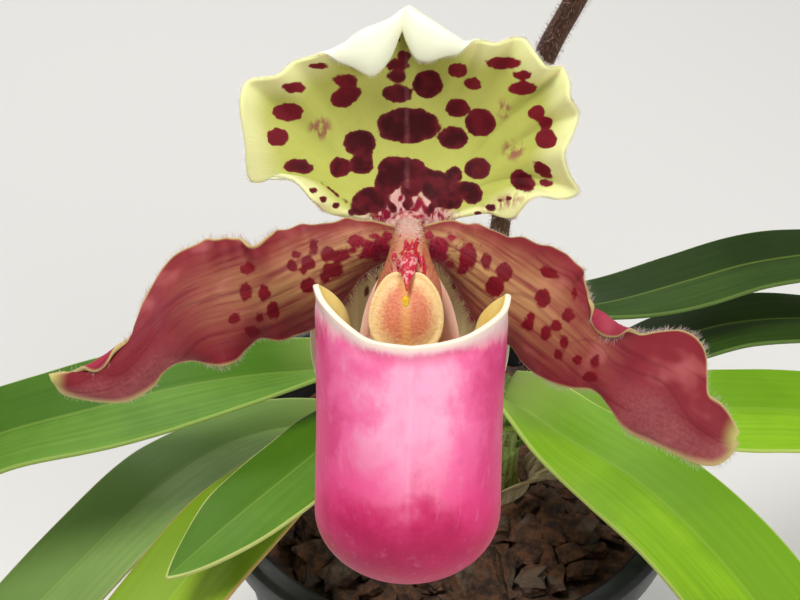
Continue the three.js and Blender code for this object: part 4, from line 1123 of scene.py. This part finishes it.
# Tone, width, the fold near the tip in degrees, where the tip starts to narrow and how wide the foot is as
# shares, and the midrib in mm
LEAVES = {
    "leaf_left_1": ("full", 21, 14, 0.74, 0.52, table("""
        -8 6 93, -22.8 -4.5 99, -32.7 -11.3 104.3, -44.3 -16.3 106.5, -58.6 -20.2 105.2, -73.2 -21.5 101,
        -96 -24 91, -118 -27 77, -132 -29 65""")),
    "leaf_left_2": ("mid", 14.5, 10, 0.62, 0.52,
        table("-6 3 88, -15 -10 93.5, -24.7 -25.6 98, -34.5 -41 102, -43.5 -50.5 100.5")),
    "leaf_left_3": ("yellow", 17, 12, 0.74, 0.52, table("""
        -7 3 81, -17 -6 86, -25.5 -18 89.5, -33.5 -30.5 92.5, -43.4 -45.6 91, -57 -64 83, -69 -80 71,
        -76 -90 60""")),
    "leaf_left_4": ("grey", 18, 12, 0.74, 0.52, table("""
        -10 6 73, -23 3 78, -36.6 -5 82.5, -49.4 -19 85, -64.3 -32.5 78, -82 -46 65, -97 -57 49""")),
    "leaf_right_1": ("bright", 20, 12, 0.74, 0.75, table("""
        8.5 -3.5 90.5, 12 -12 97, 18.6 -25 103, 27.3 -36.8 107, 38 -52.9 107.5, 54 -77 99, 66 -96 85,
        72 -106 74""")),
    "leaf_right_2": ("bright", 20, 8, 0.74, 0.52, table("""
        12 -3 83, 22 -6.5 90, 32 -9 94.5, 46.2 -11.6 97, 58.6 -10.8 95.5, 80 -8 88, 103 -5 75, 121 -3 62""")),
    # the two leaves at the back take the deep tone, which is painted shade
    "leaf_right_3": ("deep", 15, 12, 0.74, 0.52, table("""
        0 8 94.5, 13 8.5 99, 29.6 9.8 102, 42.1 13.8 103, 54.1 19.6 102, 76 31 95, 98 43 83, 112 51 72""")),
    "leaf_right_4": ("deep", 14, 12, 0.74, 0.52, table("""
        12.5 .5 76, 22 4 84, 33.8 8.1 91, 42.7 10.8 93, 51.7 14.3 92.5, 70 21 87, 90 28 75, 103 33 63""")),
}


def make_leaf(name, tone, width, fold, blunt, foot, midrib, rows=120, columns=23):
    share = shares(rows)
    spine = measured(through(midrib), share)
    tangent = unit(np.gradient(spine, axis=0))
    side = unit(np.cross(tangent, (0, 0, 1)))
    face = np.cross(side, tangent)
    taper = 1 - (np.clip(share - blunt, 0, 1) / (1 - blunt)) ** 2.2
    half = width / 2 * blend(foot, 1, smooth(0, 0.4, share)) * taper ** 0.9
    half = np.maximum(half, 0.15)[:, None]
    fold = blend(FOOT_FOLD, fold, smooth(0, 0.35, share)) * blend(1, 0.4, smooth(0.6, 1, share))
    fold = np.radians(fold)[:, None]
    c = np.linspace(-1, 1, columns)[None, :]
    keel = np.sqrt(c ** 2 + 0.004) - 0.063  # the fold, a little rounded at the midrib
    ripple = 0.035 * np.sin(17 * share)[:, None] * c ** 2 + 0.02 * np.sin(31 * share + 2)[:, None] * c ** 3
    away = half * c * np.cos(fold)
    above = half * (keel * np.sin(fold) - 0.12 * c ** 2 + ripple)
    points = spine[:, None] + side[:, None] * away[..., None] + face[:, None] * above[..., None]
    marks = {
        "grain": grain_of(points)[0],
        "share": share[:, None],
        "across": abs(c),
        "margin": (1 - abs(c)) * half,
        # the side of the fold: negative on the far half, which gets the painted shade
        "half": c * np.sign(midrib[-1][0]),
    }
    make_blade("blade_of_" + name, "leaf", name, points, marks, (0, 0, 1), LEAF_BLADE, LEAF_FINISHES[tone])


for name, leaf in LEAVES.items():
    make_leaf(name, *leaf)

# %% [markdown]
# ## Growths and dry sheaths
# Leaves and stalks come out of two flat fans of leaf sheaths. Each sheath clasps the next one, which
# leaves a step where it ends and a keel on the two narrow sides. At their feet hang the papery remains of
# old sheaths, torn at the top. All of these skins, and the stalks', are fibres side by side: fine lines
# lengthwise, silky where the tissue lives and dull where it has dried.

# %% Growths
GROWTH_FOOT = 48
GROWTHS = {"growth_1": (-5, 8, 98), "growth_2": (7, -1, 93)}  # x, y and top


def fibre_finish(name, low, high, spacing, roughness, spots=None):
    """Skin or paper with fine fibres along it, spacing millimetres apart, and perhaps with spots."""
    place, grain = open_finish(name, "grain")
    fibres = uneven(grain, spacing, 4, (1, 0.08, 1), 0.7)
    paint = lay_coats(low, (high, fibres, 0.35, 0.65))
    if spots:
        paint = lay_coats(paint, (spots, uneven(place, 1.1 * MM, 2), 0.58, 0.64, 0.8))
    return tissue(place, paint, roughness, 0.8, fibres, 0.8)


SHEATH_GREEN = fibre_finish("leaf sheath, pale green", "86a24a", "c3cd86", 0.7, 0.45, "7d6a3a")
SHEATH_DRY = fibre_finish("dry sheath, papery", "8f7650", "d3c199", 0.6, 0.85)
RIBBED_SIDES = 72
FULL_TURN = np.linspace(0, 2 * pi, RIBBED_SIDES + 1)


def make_growth(name, foot_x, foot_y, top):
    share = shares(90)[:, None]
    line = blend(np.array([foot_x, foot_y, GROWTH_FOOT]), (foot_x, foot_y, top), share)
    step = 0.45 * ((share * 4.6) % 1) ** 3 - 0.35
    keel = 1 + 0.05 * abs(np.cos(FULL_TURN)) ** 12
    x = (blend(7.2, 4.4, share) + step) * np.cos(FULL_TURN) * keel
    y = (blend(5.6, 3.2, share) + step) * np.sin(FULL_TURN) * keel
    rings = line[:, None] + np.dstack([x, y, 0 * x])
    settle(tube("sheaths_of_" + name, line, rings, SHEATH_GREEN), "sheath_green", name)


for name, growth in GROWTHS.items():
    make_growth(name, *growth)


# %% Dry sheaths
HUSK_THICKNESS = 0.35


def make_dry_sheath(name, growth, heading, foot, height, lean):
    """A scrap that clasps a growth's foot, crumples upwards and ends in a torn edge."""
    x, y, _ = GROWTHS[growth]
    t = shares(46)[:, None]
    j = np.linspace(0, 6, 61)[None, :]
    angle = heading + blend(1.0, 0.25, t * t) * (j / 3 - 1)
    crumple = 0.5 * np.sin(3.1 * j + 5 * t) * t + 0.25 * np.sin(7.7 * j - 9 * t) * t
    reach = 7.9 + lean * t * t + crumple
    ragged = smooth(0.75, 1, t) * (1.2 * np.sin(5 * j) + 0.6 * np.sin(13 * j))
    points = np.dstack([x + reach * np.cos(angle), y + 0.85 * reach * np.sin(angle),
                        foot + height * t + ragged])
    make_blade("torn_" + name, "dry_sheath", name, points, {"grain": grain_of(points)[0][..., [1, 0, 2]]},
               (cos(heading), sin(heading), 0), HUSK_THICKNESS, SHEATH_DRY)


make_dry_sheath("dry_sheath_1", "growth_2", heading=-0.5, foot=68.5, height=12, lean=9)
make_dry_sheath("dry_sheath_2", "growth_1", heading=-1.6, foot=69.5, height=9, lean=4)

# %% [markdown]
# ## Stalks, ovaries, bracts and the bud
# The flower hangs on a ribbed ovary on a stalk, with a bract round its foot. The second stalk is taller
# and its flower is still a closed bud. All are tubes rolled round one line: only the radius changes, with
# six ribs on an ovary and a swelling for the pouch inside the bud.

# %% Stalks
SCAPE_RADIUS = 1.4
OVARY_RADIUS = 1.8
OVARY_LENGTH = 32
BUD_LENGTH = 30
BUD_OVARY_LENGTH = 19
BRACT_LENGTH = 17
BRACT_THICKNESS = 0.45
SEAT_GAP = 0.3
SCAPE_1_LINE = through([*table("""
    -5 8 98.6, -5.4 3 118, -6.2 -12 141, -6.9 -32 160.5, -7.3 -51 172.6"""), HUB + (0, 4.6, -2.7)], 60)
SCAPE_2_LINE = through(table("""
    7 -1 93.6, 6.6 -4 112, 6.6 -13.5 140, 7.8 -25.5 166, 9.9 -34.2 184.1, 12.3 -38.7 194.2, 17 -44 212,
    20 -46.5 224, 22.5 -51 236, 25 -60 246"""), 60)
OVARY_1_START = 1 - OVARY_LENGTH / run_of(SCAPE_1_LINE)[-1]
OVARY_2_START = 1 - (BUD_OVARY_LENGTH + BUD_LENGTH) / run_of(SCAPE_2_LINE)[-1]
STALK_SKIN = fibre_finish("stalk skin, purple brown", "361a10", "542f1f", 0.5, 0.6)
OVARY_SKIN = fibre_finish("ovary skin", "5c3a34", "8e8348", 0.6, 0.55)
BRACT_SKIN = fibre_finish("bract skin", "7c8f3f", "aab860", 0.6, 0.55, "6b2a34")
BUD_SKIN = fibre_finish("bud skin", "a4b25a", "d0d488", 0.8, 0.55, "6a1c2c")


def make_stalk(name, line, end):
    share = shares(150)
    spine = measured(line, share * end)
    knobbly = 1 + 0.02 * np.sin(40 * share) * np.sin(17 * share)
    rings = rings_round(spine, SCAPE_RADIUS * blend(1.15, 0.95, share) * knobbly, 20)
    settle(tube("stalk_of_" + name, spine, rings, STALK_SKIN), "scape", name)
    return rings


hairy = {
    "stalk_1": make_stalk("scape_1", SCAPE_1_LINE, OVARY_1_START),
    "stalk_2": make_stalk("scape_2", SCAPE_2_LINE, OVARY_2_START),
}


# %% Ovary and bud
def ribs(stop, share):
    """How an ovary's radius swells and sinks round it, once the ribs have begun."""
    return 1 + (0.13 * np.cos(6 * FULL_TURN) + 0.05 * np.cos(3 * FULL_TURN)) * smooth(0, stop, share)


def beyond(line, start, share):
    """The line from just above its stalk's end on."""
    return measured(line, blend(start + SEAT_GAP / run_of(line)[-1], 1, share[:, 0]))


def make_ovary(line, start):
    share = shares(90)[:, None]
    spine = beyond(line, start, share)
    body = OVARY_RADIUS * (1 - 0.25 * abs(2 * share - 1) ** 3)
    rings = rings_round(spine, body * ribs(0.15, share), RIBBED_SIDES)
    settle(tube("ribbed_ovary", spine, rings, OVARY_SKIN), "scape", "ovary_1")
    return rings


def make_bud(line, start):
    """A ribbed ovary that swells into the folded flower, with a seam on either side of its keel."""
    share = shares(140)[:, None]
    spine = beyond(line, start, share)
    foot = BUD_OVARY_LENGTH / (BUD_OVARY_LENGTH + BUD_LENGTH)
    u = np.clip((share - foot) / (1 - foot), 0, 1)
    swell = OVARY_RADIUS + 4.6 * np.sin(pi * u ** 0.8) ** 0.9
    swell = swell * blend(1, 0.35, smooth(0.75, 1, u)) * (1 + 0.06 * np.cos(2 * FULL_TURN))
    seams = sum(0.05 * np.exp(-((FULL_TURN - pi / 2 + side) / 0.07) ** 2) for side in (-0.9, 0.9))
    swell = swell * (1 - seams * smooth(0, 0.1, u))
    ovary = OVARY_RADIUS * 0.95 * ribs(0.1, share)
    rings = rings_round(spine, blend(ovary, swell, smooth(0, 0.04, u)), RIBBED_SIDES)
    settle(tube("closed_bud", spine, rings, BUD_SKIN), "bract", "bud_2")
    return rings


hairy["ovary_1"] = make_ovary(SCAPE_1_LINE, OVARY_1_START)
hairy["bud_2"] = make_bud(SCAPE_2_LINE, OVARY_2_START)


# %% Bracts
def make_bract(name, line, start):
    """A blade that clasps the line from below and opens towards its tip."""
    t = shares(60)
    spine = measured(line, start + (BRACT_LENGTH * t - 1.5) / run_of(line)[-1])
    spread = (1.9 * (1 - t ** 2) + 0.12)[:, None]
    reach = (OVARY_RADIUS + 0.2 + 0.75 * smooth(0, 0.25, t) + 1.2 * t * t)[:, None]
    points = points_round(spine, reach, -pi / 2 + spread * np.linspace(-1, 1, 33))
    make_blade("clasping_" + name, "bract", name, points, {"grain": grain_of(points)[0][..., [1, 0, 2]]},
               points - spine[:, None], BRACT_THICKNESS, BRACT_SKIN)


make_bract("bract_1", SCAPE_1_LINE, OVARY_1_START)
make_bract("bract_2", SCAPE_2_LINE, OVARY_2_START)

# %% [markdown]
# ## Hairs
# The flower is downy: long soft hairs stand along the petals' margins, short ones along the upper sepal's,
# and both stalks are covered all over. Particles could grow them, but they would stay outside the mesh. So
# one hair is modelled from a three-sided circle, drawn out to a point, and then copied to each foot, turned
# by chance and bent over. Most are as thick as real ones, about 0.04 mm. Those at the petals' feet are
# drawn about twice as thick, so that they show.

# %% One hair
def model_hair():
    """A straight hair, one unit long and two wide, along z: its corners and its faces."""
    choose(None)
    bpy.ops.mesh.primitive_circle_add(vertices=3, radius=1, fill_type="NGON")
    hair = bpy.context.object
    open_up(hair)
    for rise, width in ((0.4, 0.8), (0.33, 0.7), (0.27, 0.1)):
        bpy.ops.mesh.extrude_region_move(TRANSFORM_OT_translate={"value": (0, 0, rise)})
        bpy.ops.transform.resize(value=(width, width, 1))
    return take_shape(hair)


def face_out():
    """Turns the faces of the piece being edited outwards, and ends the editing."""
    bpy.ops.mesh.select_all(action="SELECT")
    bpy.ops.mesh.normals_make_consistent(inside=False)
    bpy.ops.object.mode_set(mode="OBJECT")


def take_shape(piece):
    """Ends the editing of a small model: returns its corners and faces, and removes it."""
    face_out()
    corners = np.array([v.co for v in piece.data.vertices])
    faces = [list(face.vertices) for face in piece.data.polygons]
    bpy.data.objects.remove(piece)
    return corners, faces


HAIR_CORNERS, HAIR_FACES = model_hair()
print("one hair has", sum(len(face) - 2 for face in HAIR_FACES), "triangles")


# %% Setting hairs
def mesh_piece(name, points, faces, finish):
    """A piece from points in mm and its faces."""
    mesh = bpy.data.meshes.new(name)
    mesh.from_pydata(points * MM, [], faces)
    mesh.materials.append(finish)
    piece = bpy.data.objects.new(name, mesh)
    bpy.context.scene.collection.objects.link(piece)
    return piece


def set_hairs(name, slot, feet, outward, length, finish, thick=0.02, spread=0.3, bow=0.3):
    """Copies the hair to each foot, turned away from outward by chance, bent over and drooping."""
    count = len(feet)
    rise = unit(unit(outward) + spread * pick.normal(size=(count, 3)) * 0.7)
    bend = np.cross(rise, pick.normal(size=(count, 3))) - (0, 0, 0.3)
    bend = unit(bend - rise * (bend * rise).sum(-1, keepdims=True))
    tall = (length * pick.uniform(0.6, 1.2, count))[:, None, None]
    wide = (thick * pick.uniform(0.8, 1.2, count))[:, None, None]
    x, y, z = (HAIR_CORNERS[None, :, k, None] for k in range(3))
    points = (feet[:, None] + rise[:, None] * z * tall + bend[:, None] * (bow * z ** 2 * tall + x * wide)
              + np.cross(rise, bend)[:, None] * y * wide)
    steps = (np.arange(count) * len(HAIR_CORNERS))[:, None]
    faces = [row for face in HAIR_FACES for row in (np.array(face)[None, :] + steps).tolist()]
    settle(mesh_piece(name, points.reshape(-1, 3), faces, finish), slot)


# %% [markdown]
# ## Hair finishes
# A hair is a chain of clear cells filled with sap. Its skin is smooth, so it catches the light along one
# side, and some light passes through, which is why down glows. The sap is purple near the petals' feet.

# %% Hair finishes
def hair_finish(name, low, high):
    place, = open_finish(name)
    paint = lay_coats(low, (high, uneven(place, 3 * MM, 1), 0, 1))
    return seal(paint, Roughness=0.35, IOR=1.45, Specular_IOR_Level=0.2,
                Subsurface_Weight=0.3, Subsurface_Radius=(1, 1, 1), Subsurface_Scale=0.1 * MM)


HAIR_CLEAR = hair_finish("clear plant hair", "b48c88", "e0ccc4")
HAIR_WHITE = hair_finish("white plant down", "efe2d8", "fbf6ee")
HAIR_STALK = hair_finish("stalk hair, purplish", "7c5044", "b08a78")
HAIR_PURPLE = hair_finish("purple plant hair", "6c1430", "a03a54")


# %% Hairs on margins
def margin_feet(grid, side, count, reach=1, keep=lambda share: 1):
    """Feet by chance along the first (0) or last (-1) column of a grid, and the way out of the blade."""
    share = np.sort(pick.uniform(0, reach, count))
    share = share[pick.uniform(0, 1, count) < keep(share)]
    foot, inner = (along(to_plant(grid)[:, column], share) for column in (side, -3 if side else 2))
    return foot, foot - inner


def together(*sets):
    """Several sets of feet and ways as one."""
    return [np.concatenate(rows) for rows in zip(*sets)]


for name, grid in petal_grids.items():
    rims = together(margin_feet(grid, -1, 800, keep=lambda s: 0.35 + 0.65 * (s < 0.8)),
                    margin_feet(grid, 0, 900, keep=lambda s: 0.3 + 0.5 * (s > 0.4)))
    set_hairs("hairs_on_" + name, "petal", *rims, 0.85, HAIR_CLEAR, thick=0.015, bow=0.25)

set_hairs("hairs_on_upper_sepal", "dorsal", *margin_feet(dorsal, -1, 2600), 0.45, HAIR_WHITE, thick=0.016)


# %% Hairs at the petals' feet
def foot_down(grid, count=420):
    """The feet of the down where a petal meets the column, and the way out of the petal."""
    row = (pick.beta(1, 2.2, count) * 36).astype(int) + 2
    column = (pick.beta(1, 2.5, count) * (grid.shape[1] - 1)).astype(int)
    at = grid[row, column]
    way = (np.array([0, -1.0, 0]) + 0.5 * unit(at) * (1, 0, 1)) @ FLOWER_AXES
    return to_plant(at - (0, BLADE / 2, 0)), way


down = together(*map(foot_down, petal_grids.values()))
set_hairs("down_at_petal_feet", "petal", *down, 0.6, HAIR_PURPLE, thick=0.03, spread=0.4)
fringe = together(*(margin_feet(grid, 0, 300, reach=0.24) for grid in petal_grids.values()))
set_hairs("fringe_at_petal_feet", "petal", *fringe, 1.6, HAIR_PURPLE, thick=0.05, spread=0.35)


# %% Hairs on the column, stalks, ovary and bud
def tube_feet(rings, count, start=0, stop=1):
    """Feet by chance on a tube between two shares of its rows, and the way out of it."""
    rows, columns = rings.shape[:2]
    row = pick.uniform(start, stop, count) * (rows - 1.001)
    column = pick.uniform(0, columns - 1.001, count)
    r, c = row.astype(int), column.astype(int)
    v, u = (row - r)[:, None], (column - c)[:, None]
    foot = blend(blend(rings[r, c], rings[r, c + 1], u), blend(rings[r + 1, c], rings[r + 1, c + 1], u), v)
    return foot, unit(foot - rings[r].mean(1))


feet, outward = tube_feet(hood_rings, 700, 0.1, 0.4)
front = outward @ TO_EYE > 0.45
set_hairs("down_on_column", "column", feet[front], (outward + TO_EYE)[front], 0.5, HAIR_WHITE, thick=0.018,
          spread=1)
for name, count, length, slot in (("stalk_1", 3600, 0.6, "scape"), ("stalk_2", 4600, 0.6, "scape"),
                                  ("ovary_1", 1400, 0.5, "scape"), ("bud_2", 1800, 0.35, "bract")):
    set_hairs("hairs_on_" + name, slot, *tube_feet(hairy[name], count), length, HAIR_STALK)

# %% [markdown]
# ## The pot
# A nursery pot is a thin cone of black polypropylene with a folded rim. It is moulded in one shot, so its
# wall is even and its edges are slightly rounded. The mould's surface was sparked, which gives a fine satin
# texture instead of a mirror, and dust dulls it in patches. It is drawn up from a circle, ring by ring, out
# over the rim and down again inside. Six drain holes are cut through its floor.

# %% Pot finish
def moulded_black():
    """Satin where it is clean and matt where it is dusty."""
    place, = open_finish("polypropylene, moulded black")
    dust = uneven(place, 14 * MM, 6, roughness=0.7)
    gloss = add_node("MapRange", (dust, 0.48, 0.75, 0.42, 0.75))
    paint = lay_coats("1c1c1e", ("56504a", dust, 0.48, 0.75, 0.35))
    return seal(paint, uneven(place, 0.5 * MM, 2), 0.25, 0.1, Roughness=gloss, IOR=1.49)


# %% Pot
POT_HEIGHT = 75
POT_ROUNDING = 0.35  # mm, how far its moulded edges are rounded


def pot_wall(height):
    """The radius of the pot's outside at a height, in mm."""
    return blend(30, 41, height / POT_HEIGHT)


POT_PROFILE = [  # radius and height, from the underside up the wall, over the rim and down inside
    (29, 0), (pot_wall(1), 1), (pot_wall(65), 65), (pot_wall(65) + 2.5, 66), (43.5, 74), (42.5, 75),
    (40, 75), (39, 74), (pot_wall(2.5) - 2, 2.5),
]


def draw_up(name, profile, sides, finish):
    """A solid of revolution drawn ring by ring from a filled circle."""
    radius, height = profile[0]
    choose(None)
    bpy.ops.mesh.primitive_circle_add(vertices=sides, radius=radius * MM, fill_type="NGON",
                                      location=(0, 0, height * MM))
    piece = just_added(name, finish)
    bpy.ops.object.transform_apply(location=True)
    open_up(piece)
    for next_radius, next_height in profile[1:]:
        bpy.ops.mesh.extrude_region_move(
            TRANSFORM_OT_translate={"value": (0, 0, (next_height - height) * MM)})
        share = next_radius / radius
        bpy.ops.transform.resize(value=(share, share, 1), center_override=(0, 0, next_height * MM))
        radius, height = next_radius, next_height
    face_out()
    return piece


def drill_floor(piece, holes=6, radius=4, circle=18):
    for k in range(holes):
        turn = k * 2 * pi / holes
        choose(None)
        bpy.ops.mesh.primitive_cylinder_add(
            vertices=32, radius=radius * MM, depth=10 * MM,
            location=(circle * cos(turn) * MM, circle * sin(turn) * MM, 0))
        drill = bpy.context.object
        modify(piece, "BOOLEAN", operation="DIFFERENCE", object=drill)
        bpy.data.objects.remove(drill)


pot = draw_up("nursery_pot", POT_PROFILE, 128, moulded_black())
drill_floor(pot)
modify(pot, "BEVEL", width=POT_ROUNDING * MM, segments=2, limit_method="ANGLE", angle_limit=radians(25))
choose(pot)
bpy.ops.object.shade_smooth_by_angle(angle=radians(30))
settle(pot, "pot_plastic", "pot")

# %% [markdown]
# ## The bark
# Bark is layers of cork: rust brown where it broke, grey where it weathered, and never glossy. A packed bed
# fills the pot under loose chips. Four chips are modelled from a cube, cut, shaken out of true and
# bevelled, and turned and stretched copies of them cover the bed: big ones, and small ones between.

# %% Bark finish
def bark_finish():
    place, = open_finish("pine bark, broken")
    layers = uneven(place, 2.5 * MM, 6, roughness=0.7)
    cork = add_node("TexVoronoi", {"Vector": place, "Scale": 1 / (1.2 * MM)})
    paint = lay_coats(
        "2c1c13",
        ("6d452b", layers, 0.35, 0.68),
        ("7a6b5c", uneven(place, 7 * MM, 4), 0.52, 0.66, 0.5),
    )
    return seal(paint, add_node("Math", (layers, cork), operation="ADD"), 0.8, 0.5, Roughness=0.85)


BARK = bark_finish()

# %% One chip
def model_chip(seed):
    """A chip one unit long, wide and tall: its corners and faces."""
    choose(None)
    bpy.ops.mesh.primitive_cube_add(size=1)
    chip = bpy.context.object
    open_up(chip)
    bpy.ops.mesh.subdivide(number_cuts=1)
    bpy.ops.transform.vertex_random(offset=0.16, uniform=0.7, normal=0.2, seed=seed)
    bpy.ops.object.mode_set(mode="OBJECT")
    modify(chip, "BEVEL", width=0.05, segments=1, limit_method="ANGLE", angle_limit=radians(50))
    open_up(chip)
    return take_shape(chip)


CHIPS = [model_chip(seed) for seed in (1, 2, 3, 4)]
print("corners of the chips:", [len(corners) for corners, faces in CHIPS])

# %% Chips
MEDIUM_TOP = 63
GOLDEN_ANGLE = 2.399963


def bark_room(height):
    """The radius that the bark may take up inside the pot's wall."""
    return pot_wall(height) - 2.5


def turned(x, y, z):
    """A turn about x, then y, then z, in radians."""
    sx, sy, sz = map(sin, (x, y, z))
    cx, cy, cz = map(cos, (x, y, z))
    return np.array([
        [cy * cz, sx * sy * cz - cx * sz, cx * sy * cz + sx * sz],
        [cy * sz, sx * sy * sz + cx * cz, cx * sy * sz - sx * cz],
        [-sy, sx * cy, cx * cy],
    ])


def chip_places(count, start, low, high, sizes):
    """Places on a sunflower spiral, with a size and a turn for each chip."""
    reach = bark_room(MEDIUM_TOP) - sizes[1] * 0.75
    for k in range(count):
        angle = start + k * GOLDEN_ANGLE
        r = reach * sqrt((k + 0.5) / count)
        long = pick.uniform(*sizes)
        size = np.array([long, long * pick.uniform(0.5, 0.85), long * pick.uniform(0.3, 0.45)])
        turn = turned(pick.uniform(-0.45, 0.45), pick.uniform(-0.45, 0.45), pick.uniform(0, 6.28))
        yield (r * cos(angle), r * sin(angle), pick.uniform(low, high)), size, turn


corners = []
faces = []
places = [*chip_places(36, 0, 63.4, 64.6, (7, 11)), *chip_places(150, 1.1, 63.0, 65.6, (3, 6.5))]
for place, size, turn in places:
    shape, sides = CHIPS[len(corners) % len(CHIPS)]
    start = sum(map(len, corners))
    corners.append((shape * size) @ turn.T + place)
    faces += [[start + v for v in side] for side in sides]
chips = mesh_piece("loose_chips", np.concatenate(corners), faces, BARK)
bed = draw_up("bed", [(bark_room(2.6) - 0.3, 2.8), (bark_room(MEDIUM_TOP) - 0.3, MEDIUM_TOP)], 96, BARK)
settle(join_as("pine_bark", [bed, chips]), "bark", "potting_medium")

# %% [markdown]
# ## The studio
# A plain pale floor under an even pale sky, one large soft light above and in front, a weaker one from
# the side and one from behind that catches the hairs.

# %% Floor, lights and world
def soft_light(name, way, size, watts):
    """A round soft lamp that stands some way, in metres, from the flower and looks at it."""
    lamp = bpy.data.lights.new(name, "AREA")
    lamp.shape = "DISK"
    lamp.size = size
    lamp.energy = watts
    stand = bpy.data.objects.new(name, lamp)
    bpy.context.scene.collection.objects.link(stand)
    stand.location = HUB * MM + way
    stand.rotation_mode = "QUATERNION"
    stand.rotation_quaternion = Vector(way).to_track_quat("Z", "Y")


soft_light("key light", (-0.15, -0.06, 0.62), 0.3, 4)
soft_light("side light", (0.45, -0.5, 0.25), 0.5, 2.4)
soft_light("back light", (-0.2, 0.7, 0.5), 0.3, 2.5)

open_finish("pale matt board")
choose(None)
bpy.ops.mesh.primitive_plane_add(size=4)
floor = just_added("studio_floor", seal("e6e4df", Roughness=0.9))

world = bpy.data.worlds.new("studio")
bpy.context.scene.world = world
world.use_nodes = True
sky = world.node_tree.nodes["Background"].inputs
sky["Color"].default_value = colour("f4f4f6")
sky["Strength"].default_value = 0.25
bpy.context.scene.view_settings.view_transform = "Standard"
